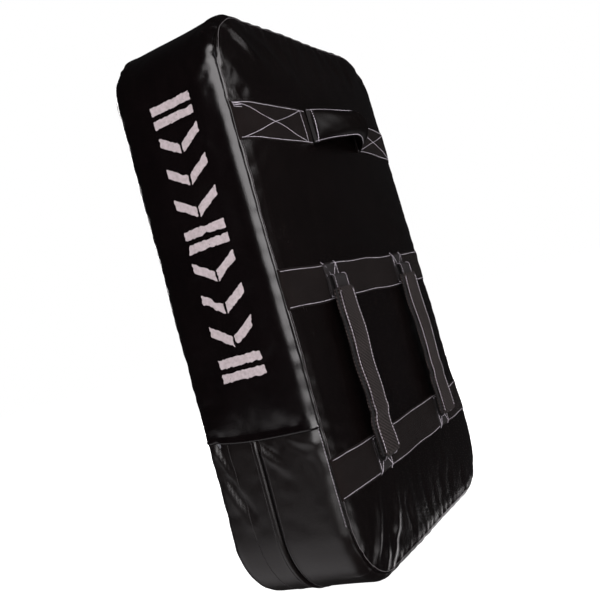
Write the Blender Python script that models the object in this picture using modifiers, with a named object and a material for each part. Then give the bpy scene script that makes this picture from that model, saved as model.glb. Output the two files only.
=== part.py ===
"""Kick shield: a foam block in a sewn vinyl cover, with a carry handle and two forearm straps.

Metres, +Z up along the shield. X runs across its width, +Y towards the strike face and -Y towards the
holder. The origin is the middle of the bottom face that the shield stands on.
"""
import math

import bmesh
import bpy
from mathutils import Vector

# Whole shield
WIDTH = 0.390
DEPTH = 0.140                # between the two rings of edge seams
HEIGHT = 0.600
CORNER_RADIUS = 0.072        # the four corners, seen from the front
EDGE_RADIUS = 0.016          # the rounded edges round both faces
SEAM_ANGLE = math.radians(52)  # where a panel's seam lies on the rounded edge, from the gusset
CROWN = 0.004                # how far both faces bulge in the middle
HANDLE_BULGE = 0.011         # more bulge behind the carry handle
BULGE_REACH = 0.110

# Layers, as depths below the outer surface
GAP = 0.0003
COVER = 0.0020
FACING_TOP = COVER + GAP
FACING = 0.0007
TAPE_TOP = FACING_TOP + FACING + GAP
TAPE = 0.0005
COIL_RADIUS = 0.0011
COIL_DEPTH = TAPE_TOP + TAPE + GAP + COIL_RADIUS
FOAM_INSET = 0.0034
FOAM_GAP = 0.0006
STRIKE_LAYER = 0.028
BACK_LAYER = 0.020

# Cross seam and zip
CROSS_SEAM_Z = 0.172
CROSS_FACING = 0.024
ZIP_Y = 0.005
VALLEY = 0.003               # the slot between the two folded edges over the zip
ZIP_TOP_Z = 0.1515
COIL_SPACING = 0.0044        # between the centre lines of the two rows
TAPE_REACH = 0.014
CHANNEL_HALF = 0.0165
CHANNEL_DEPTH = 0.0082
STOP = (0.0034, 0.0030)      # a stop's half width and length

# Slider and pull
SLIDER_Z = 0.1450
SLIDER_LENGTH = 0.009
SLIDER_HALF = 0.0042
PLATE = 0.0007
POST_HALF = 0.0006
CROWN_HALF = 0.0030          # half the length of the slider's arched lug
CROWN_LEG = 0.0009
CROWN_RISE = 0.0028
PULL_SIZE = (0.0010, 0.0066, 0.0290)
PULL_AXIS_RISE = 0.0009
SLOT_HALF = 0.0015
SLOT = (0.00055, 0.0044)     # from the hinge axis down to the ends of the pull's slot

# Bands and handle
BAND = 0.038
BAND_THICK = 0.0013
LIFT = 0.0004
BAND_HALF_LENGTH = 0.1775
UPPER_BAND_Z = 0.4735
MID_BAND_Z = 0.3000
LOWER_BAND_Z = 0.1190
HANDLE_HALF = 0.0615
HANDLE_END_RISE = 0.0085
HANDLE_RISE = 0.0300
HANDLE_POWER = 2.6
HANDLE_SECTION = (0.0180, 0.0070)    # half width and half thickness in the middle
HANDLE_END_SCALE = (0.72, 0.45)      # and how much of them is left at the ends
SLEEVE = 0.0012

# Forearm straps
STRAP_X = 0.0935
STRAP_WIDTH = 0.038
STRAP_BOTTOM = 0.1170
STRAP_TOP = 0.2910
STRAP_STAND_OFF = 0.0055     # from the face to the back of the grip
WEBBING = 0.0012
STRAP_PAD = 0.0030
TAB = 0.0010
TAB_FOLD = 0.0009            # radius of the tight fold
SEWN_LENGTH = 0.032
FOLD_LENGTH = {"top": 0.016, "bottom": 0.027}


def crown(x, z, side):
    """How far a face stands out at (x, z): side is -1 at the holder's face and +1 at the strike face."""
    across = max(0.0, 1.0 - (2 * x / WIDTH) ** 2)
    along = max(0.0, 1.0 - (2 * z / HEIGHT - 1.0) ** 2)
    out = CROWN * across * along
    if side < 0:
        reach = (z - UPPER_BAND_Z) / BULGE_REACH
        out += HANDLE_BULGE * across * max(0.0, 1.0 - reach * reach) ** 2
    return out


def face_y(x, z):
    """The holder's face of the cover at (x, z)."""
    return -DEPTH / 2 - crown(x, z, -1)


def material(name, colour, roughness, metallic=0.0):
    made = bpy.data.materials.new(name)
    made.use_nodes = True
    shader = made.node_tree.nodes["Principled BSDF"]
    shader.inputs["Base Color"].default_value = (*colour, 1.0)
    shader.inputs["Roughness"].default_value = roughness
    shader.inputs["Metallic"].default_value = metallic
    return made


def place(name, bm, kind, finish, parent=None):
    """Make the named object from a bmesh in world coordinates."""
    bmesh.ops.recalc_face_normals(bm, faces=bm.faces)
    closed = all(edge.is_manifold for edge in bm.edges)
    if closed and bm.calc_volume(signed=True) < 0:
        bmesh.ops.reverse_faces(bm, faces=bm.faces)
    mesh = bpy.data.meshes.new(name)
    bm.to_mesh(mesh)
    bm.free()
    made = bpy.data.objects.new(name, mesh)
    kind.objects.link(made)
    if finish:
        mesh.materials.append(finish)
        mesh.shade_smooth()
        mesh.set_sharp_from_angle(angle=math.radians(35))
    if parent:
        made.parent = parent
        made.matrix_parent_inverse = parent.matrix_world.inverted()
    return made


def box(low, high, bevel=0.0):
    bm = bmesh.new()
    bmesh.ops.create_cube(bm, size=1.0)
    low, high = Vector(low), Vector(high)
    for vert in bm.verts:
        vert.co = [low[i] + (high[i] - low[i]) * (vert.co[i] + 0.5) for i in range(3)]
    if bevel:
        bmesh.ops.bevel(bm, geom=bm.edges[:], offset=bevel, segments=2, profile=0.5, affect="EDGES")
    return bm


def cut(bm, axis, at, keep_above=None, cap=False):
    """Slice at a plane across an axis, and drop one side if keep_above says which to keep."""
    point = Vector((0, 0, 0))
    normal = Vector((0, 0, 0))
    point[axis] = at
    normal[axis] = 1.0
    geometry = bm.verts[:] + bm.edges[:] + bm.faces[:]
    made = bmesh.ops.bisect_plane(bm, geom=geometry, dist=1e-6, plane_co=point, plane_no=normal,
                                  clear_inner=keep_above is True, clear_outer=keep_above is False)
    if cap:
        edges = [e for e in made["geom_cut"] if isinstance(e, bmesh.types.BMEdge) and e.is_boundary]
        bmesh.ops.holes_fill(bm, edges=edges, sides=0)


def outline_prism(inset, half_depth):
    """The shield's outline as a block: a box with its four long corners rounded."""
    bm = box((-WIDTH / 2 + inset, -half_depth, inset), (WIDTH / 2 - inset, half_depth, HEIGHT - inset))
    corners = [e for e in bm.edges if abs(e.verts[0].co.y - e.verts[1].co.y) > half_depth]
    bmesh.ops.bevel(bm, geom=corners, offset=CORNER_RADIUS - inset, segments=9, profile=0.5, affect="EDGES")
    return bm


def skin(inset, slices=True):
    """The whole padded form at a depth below its outer surface, with rounded edges and crowned faces."""
    half_depth = DEPTH / 2 - inset
    bm = outline_prism(inset, half_depth)
    rims = [e for e in bm.edges if abs(abs(e.verts[0].co.y) - half_depth) < 1e-6
            and abs(e.verts[0].co.y - e.verts[1].co.y) < 1e-6]
    bmesh.ops.bevel(bm, geom=rims, offset=EDGE_RADIUS - inset, segments=4, profile=0.5, affect="EDGES")
    if slices:
        for step in range(1, 8):
            cut(bm, 0, WIDTH * (step / 8 - 0.5))
        for step in range(1, 12):
            cut(bm, 2, HEIGHT * step / 12)
    for vert in bm.verts:
        side = 1 if vert.co.y > 0 else -1
        rise = (abs(vert.co.y) - (DEPTH / 2 - EDGE_RADIUS)) / (EDGE_RADIUS - inset)
        if rise > 0:
            vert.co.y += side * crown(vert.co.x, vert.co.z, side) * rise
    return bm


def solidify(made, thickness, offset=-1.0):
    shell = made.modifiers.new("Thickness", "SOLIDIFY")
    shell.thickness = thickness
    shell.offset = offset
    return made


def cover_piece(name, kind, finish, low_y=None, high_y=None, low_z=None, high_z=None):
    """One panel of the cover: the part of the outer skin between these planes."""
    bm = skin(0.0)
    trim(bm, low_y, high_y, low_z, high_z)
    return solidify(place(name, bm, kind, finish), COVER)


def trim(bm, low_y, high_y, low_z, high_z):
    for axis, at, keep_above in ((1, low_y, True), (1, high_y, False), (2, low_z, True), (2, high_z, False)):
        if at is not None:
            cut(bm, axis, at, keep_above)


def lining(name, kind, finish, inset, thickness, low_y, high_y, low_z=None, high_z=None, side=0):
    """A strip behind the gusset, at a depth below it. side picks the left (-1) or right (+1) run only."""
    bm = outline_prism(inset, DEPTH / 2)
    bm.normal_update()
    bmesh.ops.delete(bm, geom=[f for f in bm.faces if abs(f.normal.y) > 0.9], context="FACES")
    trim(bm, low_y, high_y, low_z, high_z)
    if side:
        cut(bm, 0, 0.0, keep_above=side > 0)
    return solidify(place(name, bm, kind, finish), thickness)


def make_foam(kind, foam, firm_foam, cutters):
    """Three foam layers that fill the cover, the core with a channel for the zip."""
    back_split = -DEPTH / 2 + FOAM_INSET + BACK_LAYER
    strike_split = DEPTH / 2 - FOAM_INSET - STRIKE_LAYER
    layers = (("foam_back_layer", None, back_split - FOAM_GAP / 2, firm_foam),
              ("foam_core", back_split + FOAM_GAP / 2, strike_split - FOAM_GAP / 2, foam),
              ("foam_strike_layer", strike_split + FOAM_GAP / 2, None, firm_foam))
    for name, low, high, finish in layers:
        bm = skin(FOAM_INSET, slices=name != "foam_core")
        if low is not None:
            cut(bm, 1, low, keep_above=True, cap=True)
        if high is not None:
            cut(bm, 1, high, keep_above=False, cap=True)
        made = place(name, bm, kind, finish)
        if name == "foam_core":
            channel = made.modifiers.new("Zip channel", "BOOLEAN")
            channel.operation = "DIFFERENCE"
            channel.object = cutters.objects["zip_channel"]


def make_channel_cutter(cutters):
    """A ring round the bottom of the shield that clears the zip."""
    bm = outline_prism(CHANNEL_DEPTH, CHANNEL_HALF)
    bm.normal_update()
    bmesh.ops.delete(bm, geom=[f for f in bm.faces if abs(f.normal.y) > 0.9], context="FACES")
    bmesh.ops.translate(bm, verts=bm.verts, vec=(0, ZIP_Y, 0))
    cut(bm, 2, ZIP_TOP_Z + 0.012, keep_above=False)
    ring = solidify(place("zip_channel", bm, cutters, None), CHANNEL_DEPTH + 0.004, offset=1.0)
    ring.hide_render = True
    ring.display_type = "WIRE"


def make_cover(kind, vinyl):
    """The sewn cover: two faces, one gusset over the top and two gusset halves round the bottom."""
    seam = DEPTH / 2 - EDGE_RADIUS * (1 - math.sin(SEAM_ANGLE))
    half_gap = GAP / 2 + 0.0001
    cover_piece("back_panel", kind, vinyl, high_y=-seam - half_gap)
    cover_piece("strike_panel", kind, vinyl, low_y=seam + half_gap)
    inner = seam - half_gap
    cover_piece("upper_gusset", kind, vinyl, -inner, inner, low_z=CROSS_SEAM_Z + half_gap)
    below = CROSS_SEAM_Z - half_gap
    cover_piece("lower_gusset_front", kind, vinyl, ZIP_Y + VALLEY / 2, inner, high_z=below)
    cover_piece("lower_gusset_rear", kind, vinyl, -inner, ZIP_Y - VALLEY / 2, high_z=below)


def make_seam_facings(kind, webbing):
    for name, side in (("cross_seam_facing_left", -1), ("cross_seam_facing_right", 1)):
        lining(name, kind, webbing, FACING_TOP, FACING, -DEPTH / 2 + EDGE_RADIUS, DEPTH / 2 - EDGE_RADIUS,
               CROSS_SEAM_Z - CROSS_FACING / 2, CROSS_SEAM_Z + CROSS_FACING / 2, side)


def zip_route(depth):
    """The zip's centre line at a depth below the gusset, down the left side, round and up the right."""
    half = WIDTH / 2 - depth
    radius = CORNER_RADIUS - depth
    points = [(-half, ZIP_TOP_Z)]
    for centre_x, start in ((-WIDTH / 2 + CORNER_RADIUS, math.pi), (WIDTH / 2 - CORNER_RADIUS, 1.5 * math.pi)):
        for step in range(10):
            angle = start + step / 9 * math.pi / 2
            points.append((centre_x + radius * math.cos(angle), CORNER_RADIUS + radius * math.sin(angle)))
    points.append((half, ZIP_TOP_Z))
    return points


def make_zip(kind, webbing, nylon):
    """Facings, tapes and the two coil rows, with a stop at each end."""
    reach = {"front": 1, "rear": -1}
    facing_end = CROSS_SEAM_Z - CROSS_FACING / 2 - GAP
    for name, side in reach.items():
        near, far = sorted((ZIP_Y + side * 0.0050, ZIP_Y + side * 0.0160))
        lining("zip_facing_" + name, kind, webbing, FACING_TOP, FACING, near, far, high_z=facing_end)
        near, far = sorted((ZIP_Y + side * 0.0010, ZIP_Y + side * TAPE_REACH))
        lining("zip_tape_" + name, kind, nylon, TAPE_TOP, TAPE, near, far, high_z=facing_end)
        line = bpy.data.curves.new("zip_coil_" + name, "CURVE")
        line.dimensions = "3D"
        line.bevel_depth = COIL_RADIUS
        line.bevel_resolution = 1
        line.use_fill_caps = True
        route = zip_route(COIL_DEPTH)
        spline = line.splines.new("POLY")
        spline.points.add(len(route) - 1)
        for point, (x, z) in zip(spline.points, route):
            point.co = (x, ZIP_Y + side * COIL_SPACING / 2, z, 1.0)
        coil = bpy.data.objects.new(line.name, line)
        line.materials.append(nylon)
        kind.objects.link(coil)


def make_stops(kind, metal):
    half, length = STOP
    for name, side in (("zip_top_stop", 1), ("zip_end_stop", -1)):
        ends = sorted((side * (WIDTH / 2 - COIL_DEPTH - COIL_RADIUS), side * (WIDTH / 2 - COIL_DEPTH + COIL_RADIUS)))
        low = (ends[0], ZIP_Y - half, ZIP_TOP_Z + 0.0005)
        place(name, box(low, (ends[1], ZIP_Y + half, low[2] + length), 0.0003), kind, metal)


def union(made, cutters, pieces, operation="UNION"):
    """Add boxes to an object, or take them away from it, with Boolean modifiers."""
    for number, (low, high) in enumerate(pieces):
        tool = place(f"{made.name}_{operation.lower()}_{number}", box(low, high), cutters, None)
        tool.hide_render = True
        tool.display_type = "WIRE"
        join = made.modifiers.new(f"{operation} {number}", "BOOLEAN")
        join.operation = operation
        join.object = tool


def make_slider(kind, cutters, metal, slider_pivot, pull_pivot):
    """The slider below the slot, its arched lug through it, and the pull tab that hangs on the lug."""
    side = WIDTH / 2
    low_z = SLIDER_Z - SLIDER_LENGTH / 2
    high_z = SLIDER_Z + SLIDER_LENGTH / 2
    plate_out = side - FACING_TOP
    plate_in = side - COIL_DEPTH - COIL_RADIUS - GAP
    slider = place("zip_slider", box((plate_out - PLATE, ZIP_Y - SLIDER_HALF, low_z),
                                     (plate_out, ZIP_Y + SLIDER_HALF, high_z)), kind, metal, slider_pivot)
    lug_top = side + CROWN_RISE
    legs = [((plate_out - PLATE / 2, ZIP_Y - POST_HALF, SLIDER_Z + at - CROWN_LEG / 2),
             (lug_top, ZIP_Y + POST_HALF, SLIDER_Z + at + CROWN_LEG / 2))
            for at in (CROWN_LEG / 2 - CROWN_HALF, CROWN_HALF - CROWN_LEG / 2)]
    union(slider, cutters, [
        ((plate_in - PLATE, ZIP_Y - SLIDER_HALF + 0.0001, low_z + 0.0001),
         (plate_in, ZIP_Y + SLIDER_HALF - 0.0001, high_z - 0.0001)),
        ((plate_in - PLATE / 2, ZIP_Y - POST_HALF, high_z - 0.0026),
         (plate_out - PLATE / 2, ZIP_Y + POST_HALF, high_z - 0.0004)),
        *legs,
        ((lug_top - CROWN_LEG, ZIP_Y - POST_HALF + 0.0001, SLIDER_Z - CROWN_HALF + 0.0002),
         (lug_top - 0.0001, ZIP_Y + POST_HALF - 0.0001, SLIDER_Z + CROWN_HALF - 0.0002))])
    thick, wide, tall = PULL_SIZE
    middle = side + PULL_AXIS_RISE
    pull = place("zip_pull", box((middle - thick / 2, ZIP_Y - wide / 2, SLIDER_Z + thick / 2 - tall),
                                 (middle + thick / 2, ZIP_Y + wide / 2, SLIDER_Z + thick / 2)),
                 kind, metal, pull_pivot)
    union(pull, cutters, [((middle - thick, ZIP_Y - SLOT_HALF, SLIDER_Z - SLOT[1]),
                           (middle + thick, ZIP_Y + SLOT_HALF, SLIDER_Z - SLOT[0]))], "DIFFERENCE")


def face_strip(name, kind, finish, x_range, z_middle, riser=0):
    """A band sewn flat on the holder's face. riser lifts the end at that side off the face."""
    bm = bmesh.new()
    bmesh.ops.create_grid(bm, x_segments=12, y_segments=3, size=0.5)
    for vert in bm.verts:
        x = x_range[0] + (vert.co.x + 0.5) * (x_range[1] - x_range[0])
        z = z_middle + vert.co.y * BAND
        vert.co = (x, face_y(x, z) - LIFT, z)
    if riser:
        end = x_range[1] if riser > 0 else x_range[0]
        for vert in bm.verts:
            near = 1 - min(1.0, abs(vert.co.x - end) / 0.012)
            vert.co.y -= near ** 2 * (HANDLE_END_RISE - BAND_THICK)
    for face in bm.faces:
        face.normal_update()
    made = place(name, bm, kind, finish)
    bm = bmesh.new()
    bm.from_mesh(made.data)
    if sum(face.normal.y for face in bm.faces) > 0:
        bmesh.ops.reverse_faces(bm, faces=bm.faces)
    bm.to_mesh(made.data)
    bm.free()
    return solidify(made, BAND_THICK, offset=1.0)


def handle_path(x):
    """The carry handle's middle line, an arch that stands off the face."""
    along = abs(x) / HANDLE_HALF
    rise = HANDLE_END_RISE + (HANDLE_RISE - HANDLE_END_RISE) * (1 - along ** HANDLE_POWER)
    return face_y(0.0, UPPER_BAND_Z) - rise


def handle_bar(inset, low=None, high=None, caps=True):
    """A flattened bar along the arch. low and high cut it across its thickness, as parts of it."""
    bm = bmesh.new()
    bmesh.ops.create_cone(bm, cap_ends=caps, segments=20, radius1=1.0, radius2=1.0, depth=2.0)
    for vert in bm.verts:
        vert.co = (vert.co.z, vert.co.y, vert.co.x)
    if low is not None:
        cut(bm, 1, low, keep_above=True, cap=True)
    if high is not None:
        cut(bm, 1, high, keep_above=False, cap=True)
    for step in range(1, 12):
        cut(bm, 0, step / 6 - 1)
    half_width, half_thick = HANDLE_SECTION
    for vert in bm.verts:
        taper = abs(vert.co.x) ** HANDLE_POWER
        width = half_width * (1 - (1 - HANDLE_END_SCALE[0]) * taper) - inset
        thick = half_thick * (1 - (1 - HANDLE_END_SCALE[1]) * taper) - inset
        x = vert.co.x * HANDLE_HALF
        vert.co = (x, handle_path(x) - vert.co.y * thick, UPPER_BAND_Z + vert.co.z * width)
    return bm


def make_handle(kind, vinyl, foam, webbing, pivot):
    """The carry handle: a vinyl sleeve round a webbing strap with a pad on top."""
    sleeve = place("carry_handle_cover", handle_bar(0.0, caps=False), kind, vinyl, pivot)
    solidify(sleeve, SLEEVE)
    inside = SLEEVE + GAP + 0.0002
    place("carry_handle_pad", handle_bar(inside, low=-0.25), kind, foam, pivot)
    place("carry_handle_webbing", handle_bar(inside, low=-0.75, high=-0.38), kind, webbing, pivot)


def ribbon(name, kind, finish, middle_x, path, thickness):
    """Webbing of the strap's width along a path of (y, z) points."""
    bm = bmesh.new()
    verts = [bm.verts.new((middle_x - STRAP_WIDTH / 2, y, z)) for y, z in path]
    edges = [bm.edges.new(pair) for pair in zip(verts, verts[1:])]
    swept = bmesh.ops.extrude_edge_only(bm, edges=edges)["geom"]
    moved = [v for v in swept if isinstance(v, bmesh.types.BMVert)]
    bmesh.ops.translate(bm, verts=moved, vec=(STRAP_WIDTH, 0, 0))
    return solidify(place(name, bm, kind, finish), thickness, offset=0.0)


def half_turn(y, z, radius, way):
    """A half circle from y outwards (towards -Y), bulging up (way 1) or down (way -1)."""
    return [(y - radius + radius * math.cos(math.pi * step / 6), z + way * radius * math.sin(math.pi * step / 6))
            for step in range(7)]


def tab_path(x, band_z, way, fold_length, grip_end):
    """A folded tab, seen from the side: sewn down, back over itself, then round to meet the grip."""
    start = band_z + way * (BAND / 2 - 0.002)
    tight = start - way * SEWN_LENGTH
    turn = tight + way * fold_length
    above_face = LIFT + BAND_THICK + LIFT + TAB / 2
    sewn_y = face_y(x, tight) - above_face
    folded_y = sewn_y - 2 * TAB_FOLD
    grip_y = face_y(x, MID_BAND_Z) - STRAP_STAND_OFF - WEBBING - STRAP_PAD / 2
    outer = (folded_y - grip_y) / 2
    return ([(face_y(x, start) - above_face, start)] + half_turn(sewn_y, tight, TAB_FOLD, -way)
            + half_turn(folded_y, turn, outer, way) + [(grip_y, grip_end + way * 0.0006)])


def make_strap(kind, label, middle_x, webbing, foam, pivot):
    """A forearm strap: two folded tabs sewn on the bands, and a padded grip between them."""
    ribbon(f"{label}_strap_tab_top", kind, webbing, middle_x,
           tab_path(middle_x, MID_BAND_Z, 1, FOLD_LENGTH["top"], STRAP_TOP), TAB)
    ribbon(f"{label}_strap_tab_bottom", kind, webbing, middle_x,
           tab_path(middle_x, LOWER_BAND_Z, -1, FOLD_LENGTH["bottom"], STRAP_BOTTOM), TAB)
    back = face_y(middle_x, MID_BAND_Z) - STRAP_STAND_OFF
    layers = (("backing", 0.0, WEBBING, webbing),
              ("pad", WEBBING + GAP, STRAP_PAD - GAP, foam),
              ("facing", WEBBING + STRAP_PAD + GAP, WEBBING, webbing))
    for layer, rise, thick, finish in layers:
        inset = 0.0015 if layer == "pad" else 0.0
        low = (middle_x - STRAP_WIDTH / 2 + inset, back - rise - thick, STRAP_BOTTOM)
        high = (middle_x + STRAP_WIDTH / 2 - inset, back - rise, STRAP_TOP)
        place(f"{label}_strap_{layer}", box(low, high, 0.0003), kind, finish, pivot)


def pivot_at(name, kind, location):
    made = bpy.data.objects.new(name, None)
    made.location = location
    made.empty_display_size = 0.02
    kind.objects.link(made)
    bpy.context.view_layer.update()
    return made


def main():
    for old in list(bpy.data.objects):
        bpy.data.objects.remove(old, do_unlink=True)
    shield = bpy.data.collections.new("kick_shield")
    cutters = bpy.data.collections.new("cutters")
    for collection in (shield, cutters):
        bpy.context.scene.collection.children.link(collection)

    vinyl = material("black_vinyl", (0.012, 0.012, 0.013), 0.38)
    band_weave = material("black_band", (0.020, 0.018, 0.018), 0.75)
    grip_weave = material("grip_webbing", (0.060, 0.052, 0.052), 0.70)
    handle_vinyl = material("handle_vinyl", (0.020, 0.018, 0.018), 0.50)
    soft_foam = material("soft_foam", (0.55, 0.55, 0.52), 0.90)
    firm_foam = material("firm_foam", (0.10, 0.10, 0.11), 0.85)
    nylon = material("zip_nylon", (0.015, 0.015, 0.016), 0.55)
    metal = material("zip_metal", (0.10, 0.10, 0.11), 0.35, 0.9)

    make_channel_cutter(cutters)
    make_foam(shield, soft_foam, firm_foam, cutters)
    make_cover(shield, vinyl)
    make_seam_facings(shield, band_weave)
    make_zip(shield, band_weave, nylon)
    make_stops(shield, metal)
    slider_pivot = pivot_at("slider_pivot", shield, (WIDTH / 2, ZIP_Y, SLIDER_Z))
    pull_pivot = pivot_at("pull_pivot", shield, (WIDTH / 2 + PULL_AXIS_RISE, ZIP_Y, SLIDER_Z))
    make_slider(shield, cutters, metal, slider_pivot, pull_pivot)

    face_strip("mid_band", shield, band_weave, (-BAND_HALF_LENGTH, BAND_HALF_LENGTH), MID_BAND_Z)
    face_strip("lower_band", shield, band_weave, (-BAND_HALF_LENGTH, BAND_HALF_LENGTH), LOWER_BAND_Z)
    band_end = HANDLE_HALF + 0.0006
    face_strip("upper_band_left", shield, band_weave, (-BAND_HALF_LENGTH, -band_end), UPPER_BAND_Z, riser=1)
    face_strip("upper_band_right", shield, band_weave, (band_end, BAND_HALF_LENGTH), UPPER_BAND_Z, riser=-1)
    handle_pivot = pivot_at("handle_pivot", shield,
                            (0, face_y(0, UPPER_BAND_Z) - HANDLE_END_RISE / 2, UPPER_BAND_Z))
    make_handle(shield, handle_vinyl, firm_foam, grip_weave, handle_pivot)
    for label, middle_x in (("left", -STRAP_X), ("right", STRAP_X)):
        strap_pivot = pivot_at(f"{label}_strap_pivot", shield,
                               (middle_x, face_y(middle_x, MID_BAND_Z) - STRAP_STAND_OFF, STRAP_TOP))
        make_strap(shield, label, middle_x, grip_weave, firm_foam, strap_pivot)


main()
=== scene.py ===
"""Looks of the kick shield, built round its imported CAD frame.

Metres, +Z up along the shield, -Y the holder's face, +Y the strike face.
"""

import math

import bpy
import numpy as np
from mathutils import Matrix, Vector, noise
from mathutils.bvhtree import BVHTree


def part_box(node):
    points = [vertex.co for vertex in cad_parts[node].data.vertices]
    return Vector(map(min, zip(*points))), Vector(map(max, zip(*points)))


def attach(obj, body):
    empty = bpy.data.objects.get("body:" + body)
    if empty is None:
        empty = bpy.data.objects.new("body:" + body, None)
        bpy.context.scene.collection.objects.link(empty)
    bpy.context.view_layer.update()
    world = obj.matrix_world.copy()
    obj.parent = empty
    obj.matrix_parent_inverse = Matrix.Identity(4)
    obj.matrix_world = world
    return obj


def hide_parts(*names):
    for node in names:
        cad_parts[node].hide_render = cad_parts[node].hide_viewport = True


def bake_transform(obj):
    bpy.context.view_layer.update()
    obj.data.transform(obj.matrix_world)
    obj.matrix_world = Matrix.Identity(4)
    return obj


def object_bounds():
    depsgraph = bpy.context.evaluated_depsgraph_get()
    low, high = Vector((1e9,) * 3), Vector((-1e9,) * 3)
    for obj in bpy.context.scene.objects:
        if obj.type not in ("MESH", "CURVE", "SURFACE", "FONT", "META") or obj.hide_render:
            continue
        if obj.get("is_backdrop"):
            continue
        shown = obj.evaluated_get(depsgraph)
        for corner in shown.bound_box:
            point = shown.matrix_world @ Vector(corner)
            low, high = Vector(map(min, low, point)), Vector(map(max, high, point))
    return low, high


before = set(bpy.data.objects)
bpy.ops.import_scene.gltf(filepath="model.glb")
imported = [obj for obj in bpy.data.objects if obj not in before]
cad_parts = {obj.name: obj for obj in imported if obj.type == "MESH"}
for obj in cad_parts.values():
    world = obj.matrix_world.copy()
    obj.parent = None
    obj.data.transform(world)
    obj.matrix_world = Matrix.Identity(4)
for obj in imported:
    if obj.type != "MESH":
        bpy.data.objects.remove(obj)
cad_low, cad_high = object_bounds()
random = np.random.default_rng(7)

# ------------------------------------------------------------------ the form
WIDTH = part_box("upper_gusset")[1].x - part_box("upper_gusset")[0].x
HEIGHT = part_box("upper_gusset")[1].z
DEPTH = 0.140                      # between the two rings of edge seams
CORNER = 0.072                     # corners of the outline
EDGE = 0.016                       # rounding of the edges round both faces
SEAM_ANGLE = math.radians(52)      # where the seam lies on that rounding, from the gusset
SEAM_INSET = EDGE * (1 - math.cos(SEAM_ANGLE))
SEAM_DROP = EDGE * (1 - math.sin(SEAM_ANGLE))    # how far the seam lies below a face
SEAM_Y = DEPTH / 2 - SEAM_DROP
PANEL_EASE = 0.013                 # over which a face rises from its seam
CROWN = 0.004
BULGE = 0.011                      # extra bulge of the holder's face behind the carry handle
BULGE_REACH = 0.110
HEM_Z = 0.172                      # cross seam between the upper and lower gusset
HEM_SAG = 0.0065                   # how much lower it runs towards the holder's side
ZIP_Y = 0.005
UPPER_BAND_Z = 0.4735
MID_BAND_Z = 0.3000
LOWER_BAND_Z = 0.1190
BAND = 0.0405
BAND_THICK = 0.0013
# how far off its level and how much on a slant each band is sewn
LAY = {UPPER_BAND_Z: (-0.0048, -0.0185), MID_BAND_Z: (-0.0018, -0.0063), LOWER_BAND_Z: (-0.0030, 0.0053)}
STRAP_X = 0.0935
HALF_X = WIDTH / 2 - CORNER
ARC = CORNER * math.pi / 4
CENTRES = np.array([(-HALF_X, CORNER), (-HALF_X, HEIGHT - CORNER), (HALF_X, HEIGHT - CORNER), (HALF_X, CORNER)])
LEFT, TOP, RIGHT, BOTTOM = range(4)
RUNS = (HEIGHT - 2 * CORNER, WIDTH - 2 * CORNER) * 2
LENGTHS = [run + 2 * ARC for run in RUNS]
SECTION_ARC = EDGE * SEAM_ANGLE
SECTION_FLAT = DEPTH - 2 * EDGE
SECTION = SECTION_FLAT + 2 * SECTION_ARC


def outline(side, along):
    """Foot on the inner rectangle and outward direction for distances along one side of the outline."""
    along = np.asarray(along, float)
    turned = np.clip(along, 0, ARC) + np.clip(along - ARC - RUNS[side], 0, ARC)
    angle = math.radians(225 - 90 * side) - turned / CORNER
    share = np.clip((along - ARC) / RUNS[side], 0, 1)[:, None]
    foot = CENTRES[side] + (CENTRES[(side + 1) % 4] - CENTRES[side]) * share
    return foot, np.stack([np.cos(angle), np.sin(angle)], 1)


def stations(length, close=(), step=0.003):
    """Distances along a side, closer together near its ends and near the places in close."""
    steps = (0.0, 0.0007, 0.0016, 0.0028, 0.0044, 0.0066)
    marks = {0.0, length}
    for at in (0.0, length, *close):
        marks.update(round(at + way * off, 6) for off in steps for way in (1, -1))
    marks = np.array(sorted(m for m in marks if 0 <= m <= length + 1e-9))
    marks = marks[np.insert(np.diff(marks) > 2e-4, 0, True)]
    even = np.linspace(0, length, round(length / step) + 1)
    even = even[np.abs(even[:, None] - marks[None]).min(1) > 0.0013]
    return np.sort(np.concatenate([marks, even]))


def inset_of(x, z):
    """Distance in from the outline and the outward direction, for points inside it."""
    qx = np.abs(x) - HALF_X
    qz = np.abs(z - HEIGHT / 2) - (HEIGHT / 2 - CORNER)
    corner = (qx > 0) & (qz > 0)
    far = np.hypot(np.maximum(qx, 0), np.maximum(qz, 0))
    inset = np.where(corner, CORNER - far, CORNER - np.maximum(qx, qz))
    nx = np.where(corner, qx / np.maximum(far, 1e-9), np.where(qx >= qz, 1.0, 0.0)) * np.sign(x)
    nz = np.where(corner, qz / np.maximum(far, 1e-9), np.where(qx >= qz, 0.0, 1.0)) * np.sign(z - HEIGHT / 2)
    return inset, nx, nz


def crown(x, z, side):
    across = np.maximum(0, 1 - (2 * x / WIDTH) ** 2)
    along = np.maximum(0, 1 - (2 * z / HEIGHT - 1) ** 2)
    out = CROWN * across * along
    if side < 0:
        out = out + BULGE * across * np.maximum(0, 1 - ((z - UPPER_BAND_Z) / BULGE_REACH) ** 2) ** 2
    return out


def panel_base(x, z, side):
    """Points and outward directions of a face (side -1 the holder's, +1 the strike face)."""
    inset, nx, nz = inset_of(x, z)
    pinched = np.exp(-((x + 0.185) / 0.030) ** 2 - ((z - 0.545) / 0.035) ** 2) * (side < 0)
    ease = PANEL_EASE - 0.0055 * pinched
    left = np.clip(1 - (inset - SEAM_INSET) / ease, 0, 1)
    y = side * (DEPTH / 2 - SEAM_DROP * left ** 1.6 + (1 - left) * crown(x, z, side))
    lean = 1.6 * SEAM_DROP / ease * left ** 0.6
    rise = np.sqrt(1 - lean ** 2)
    return np.stack([x, y, z], -1), np.stack([nx * lean, side * rise, nz * lean], -1)


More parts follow.
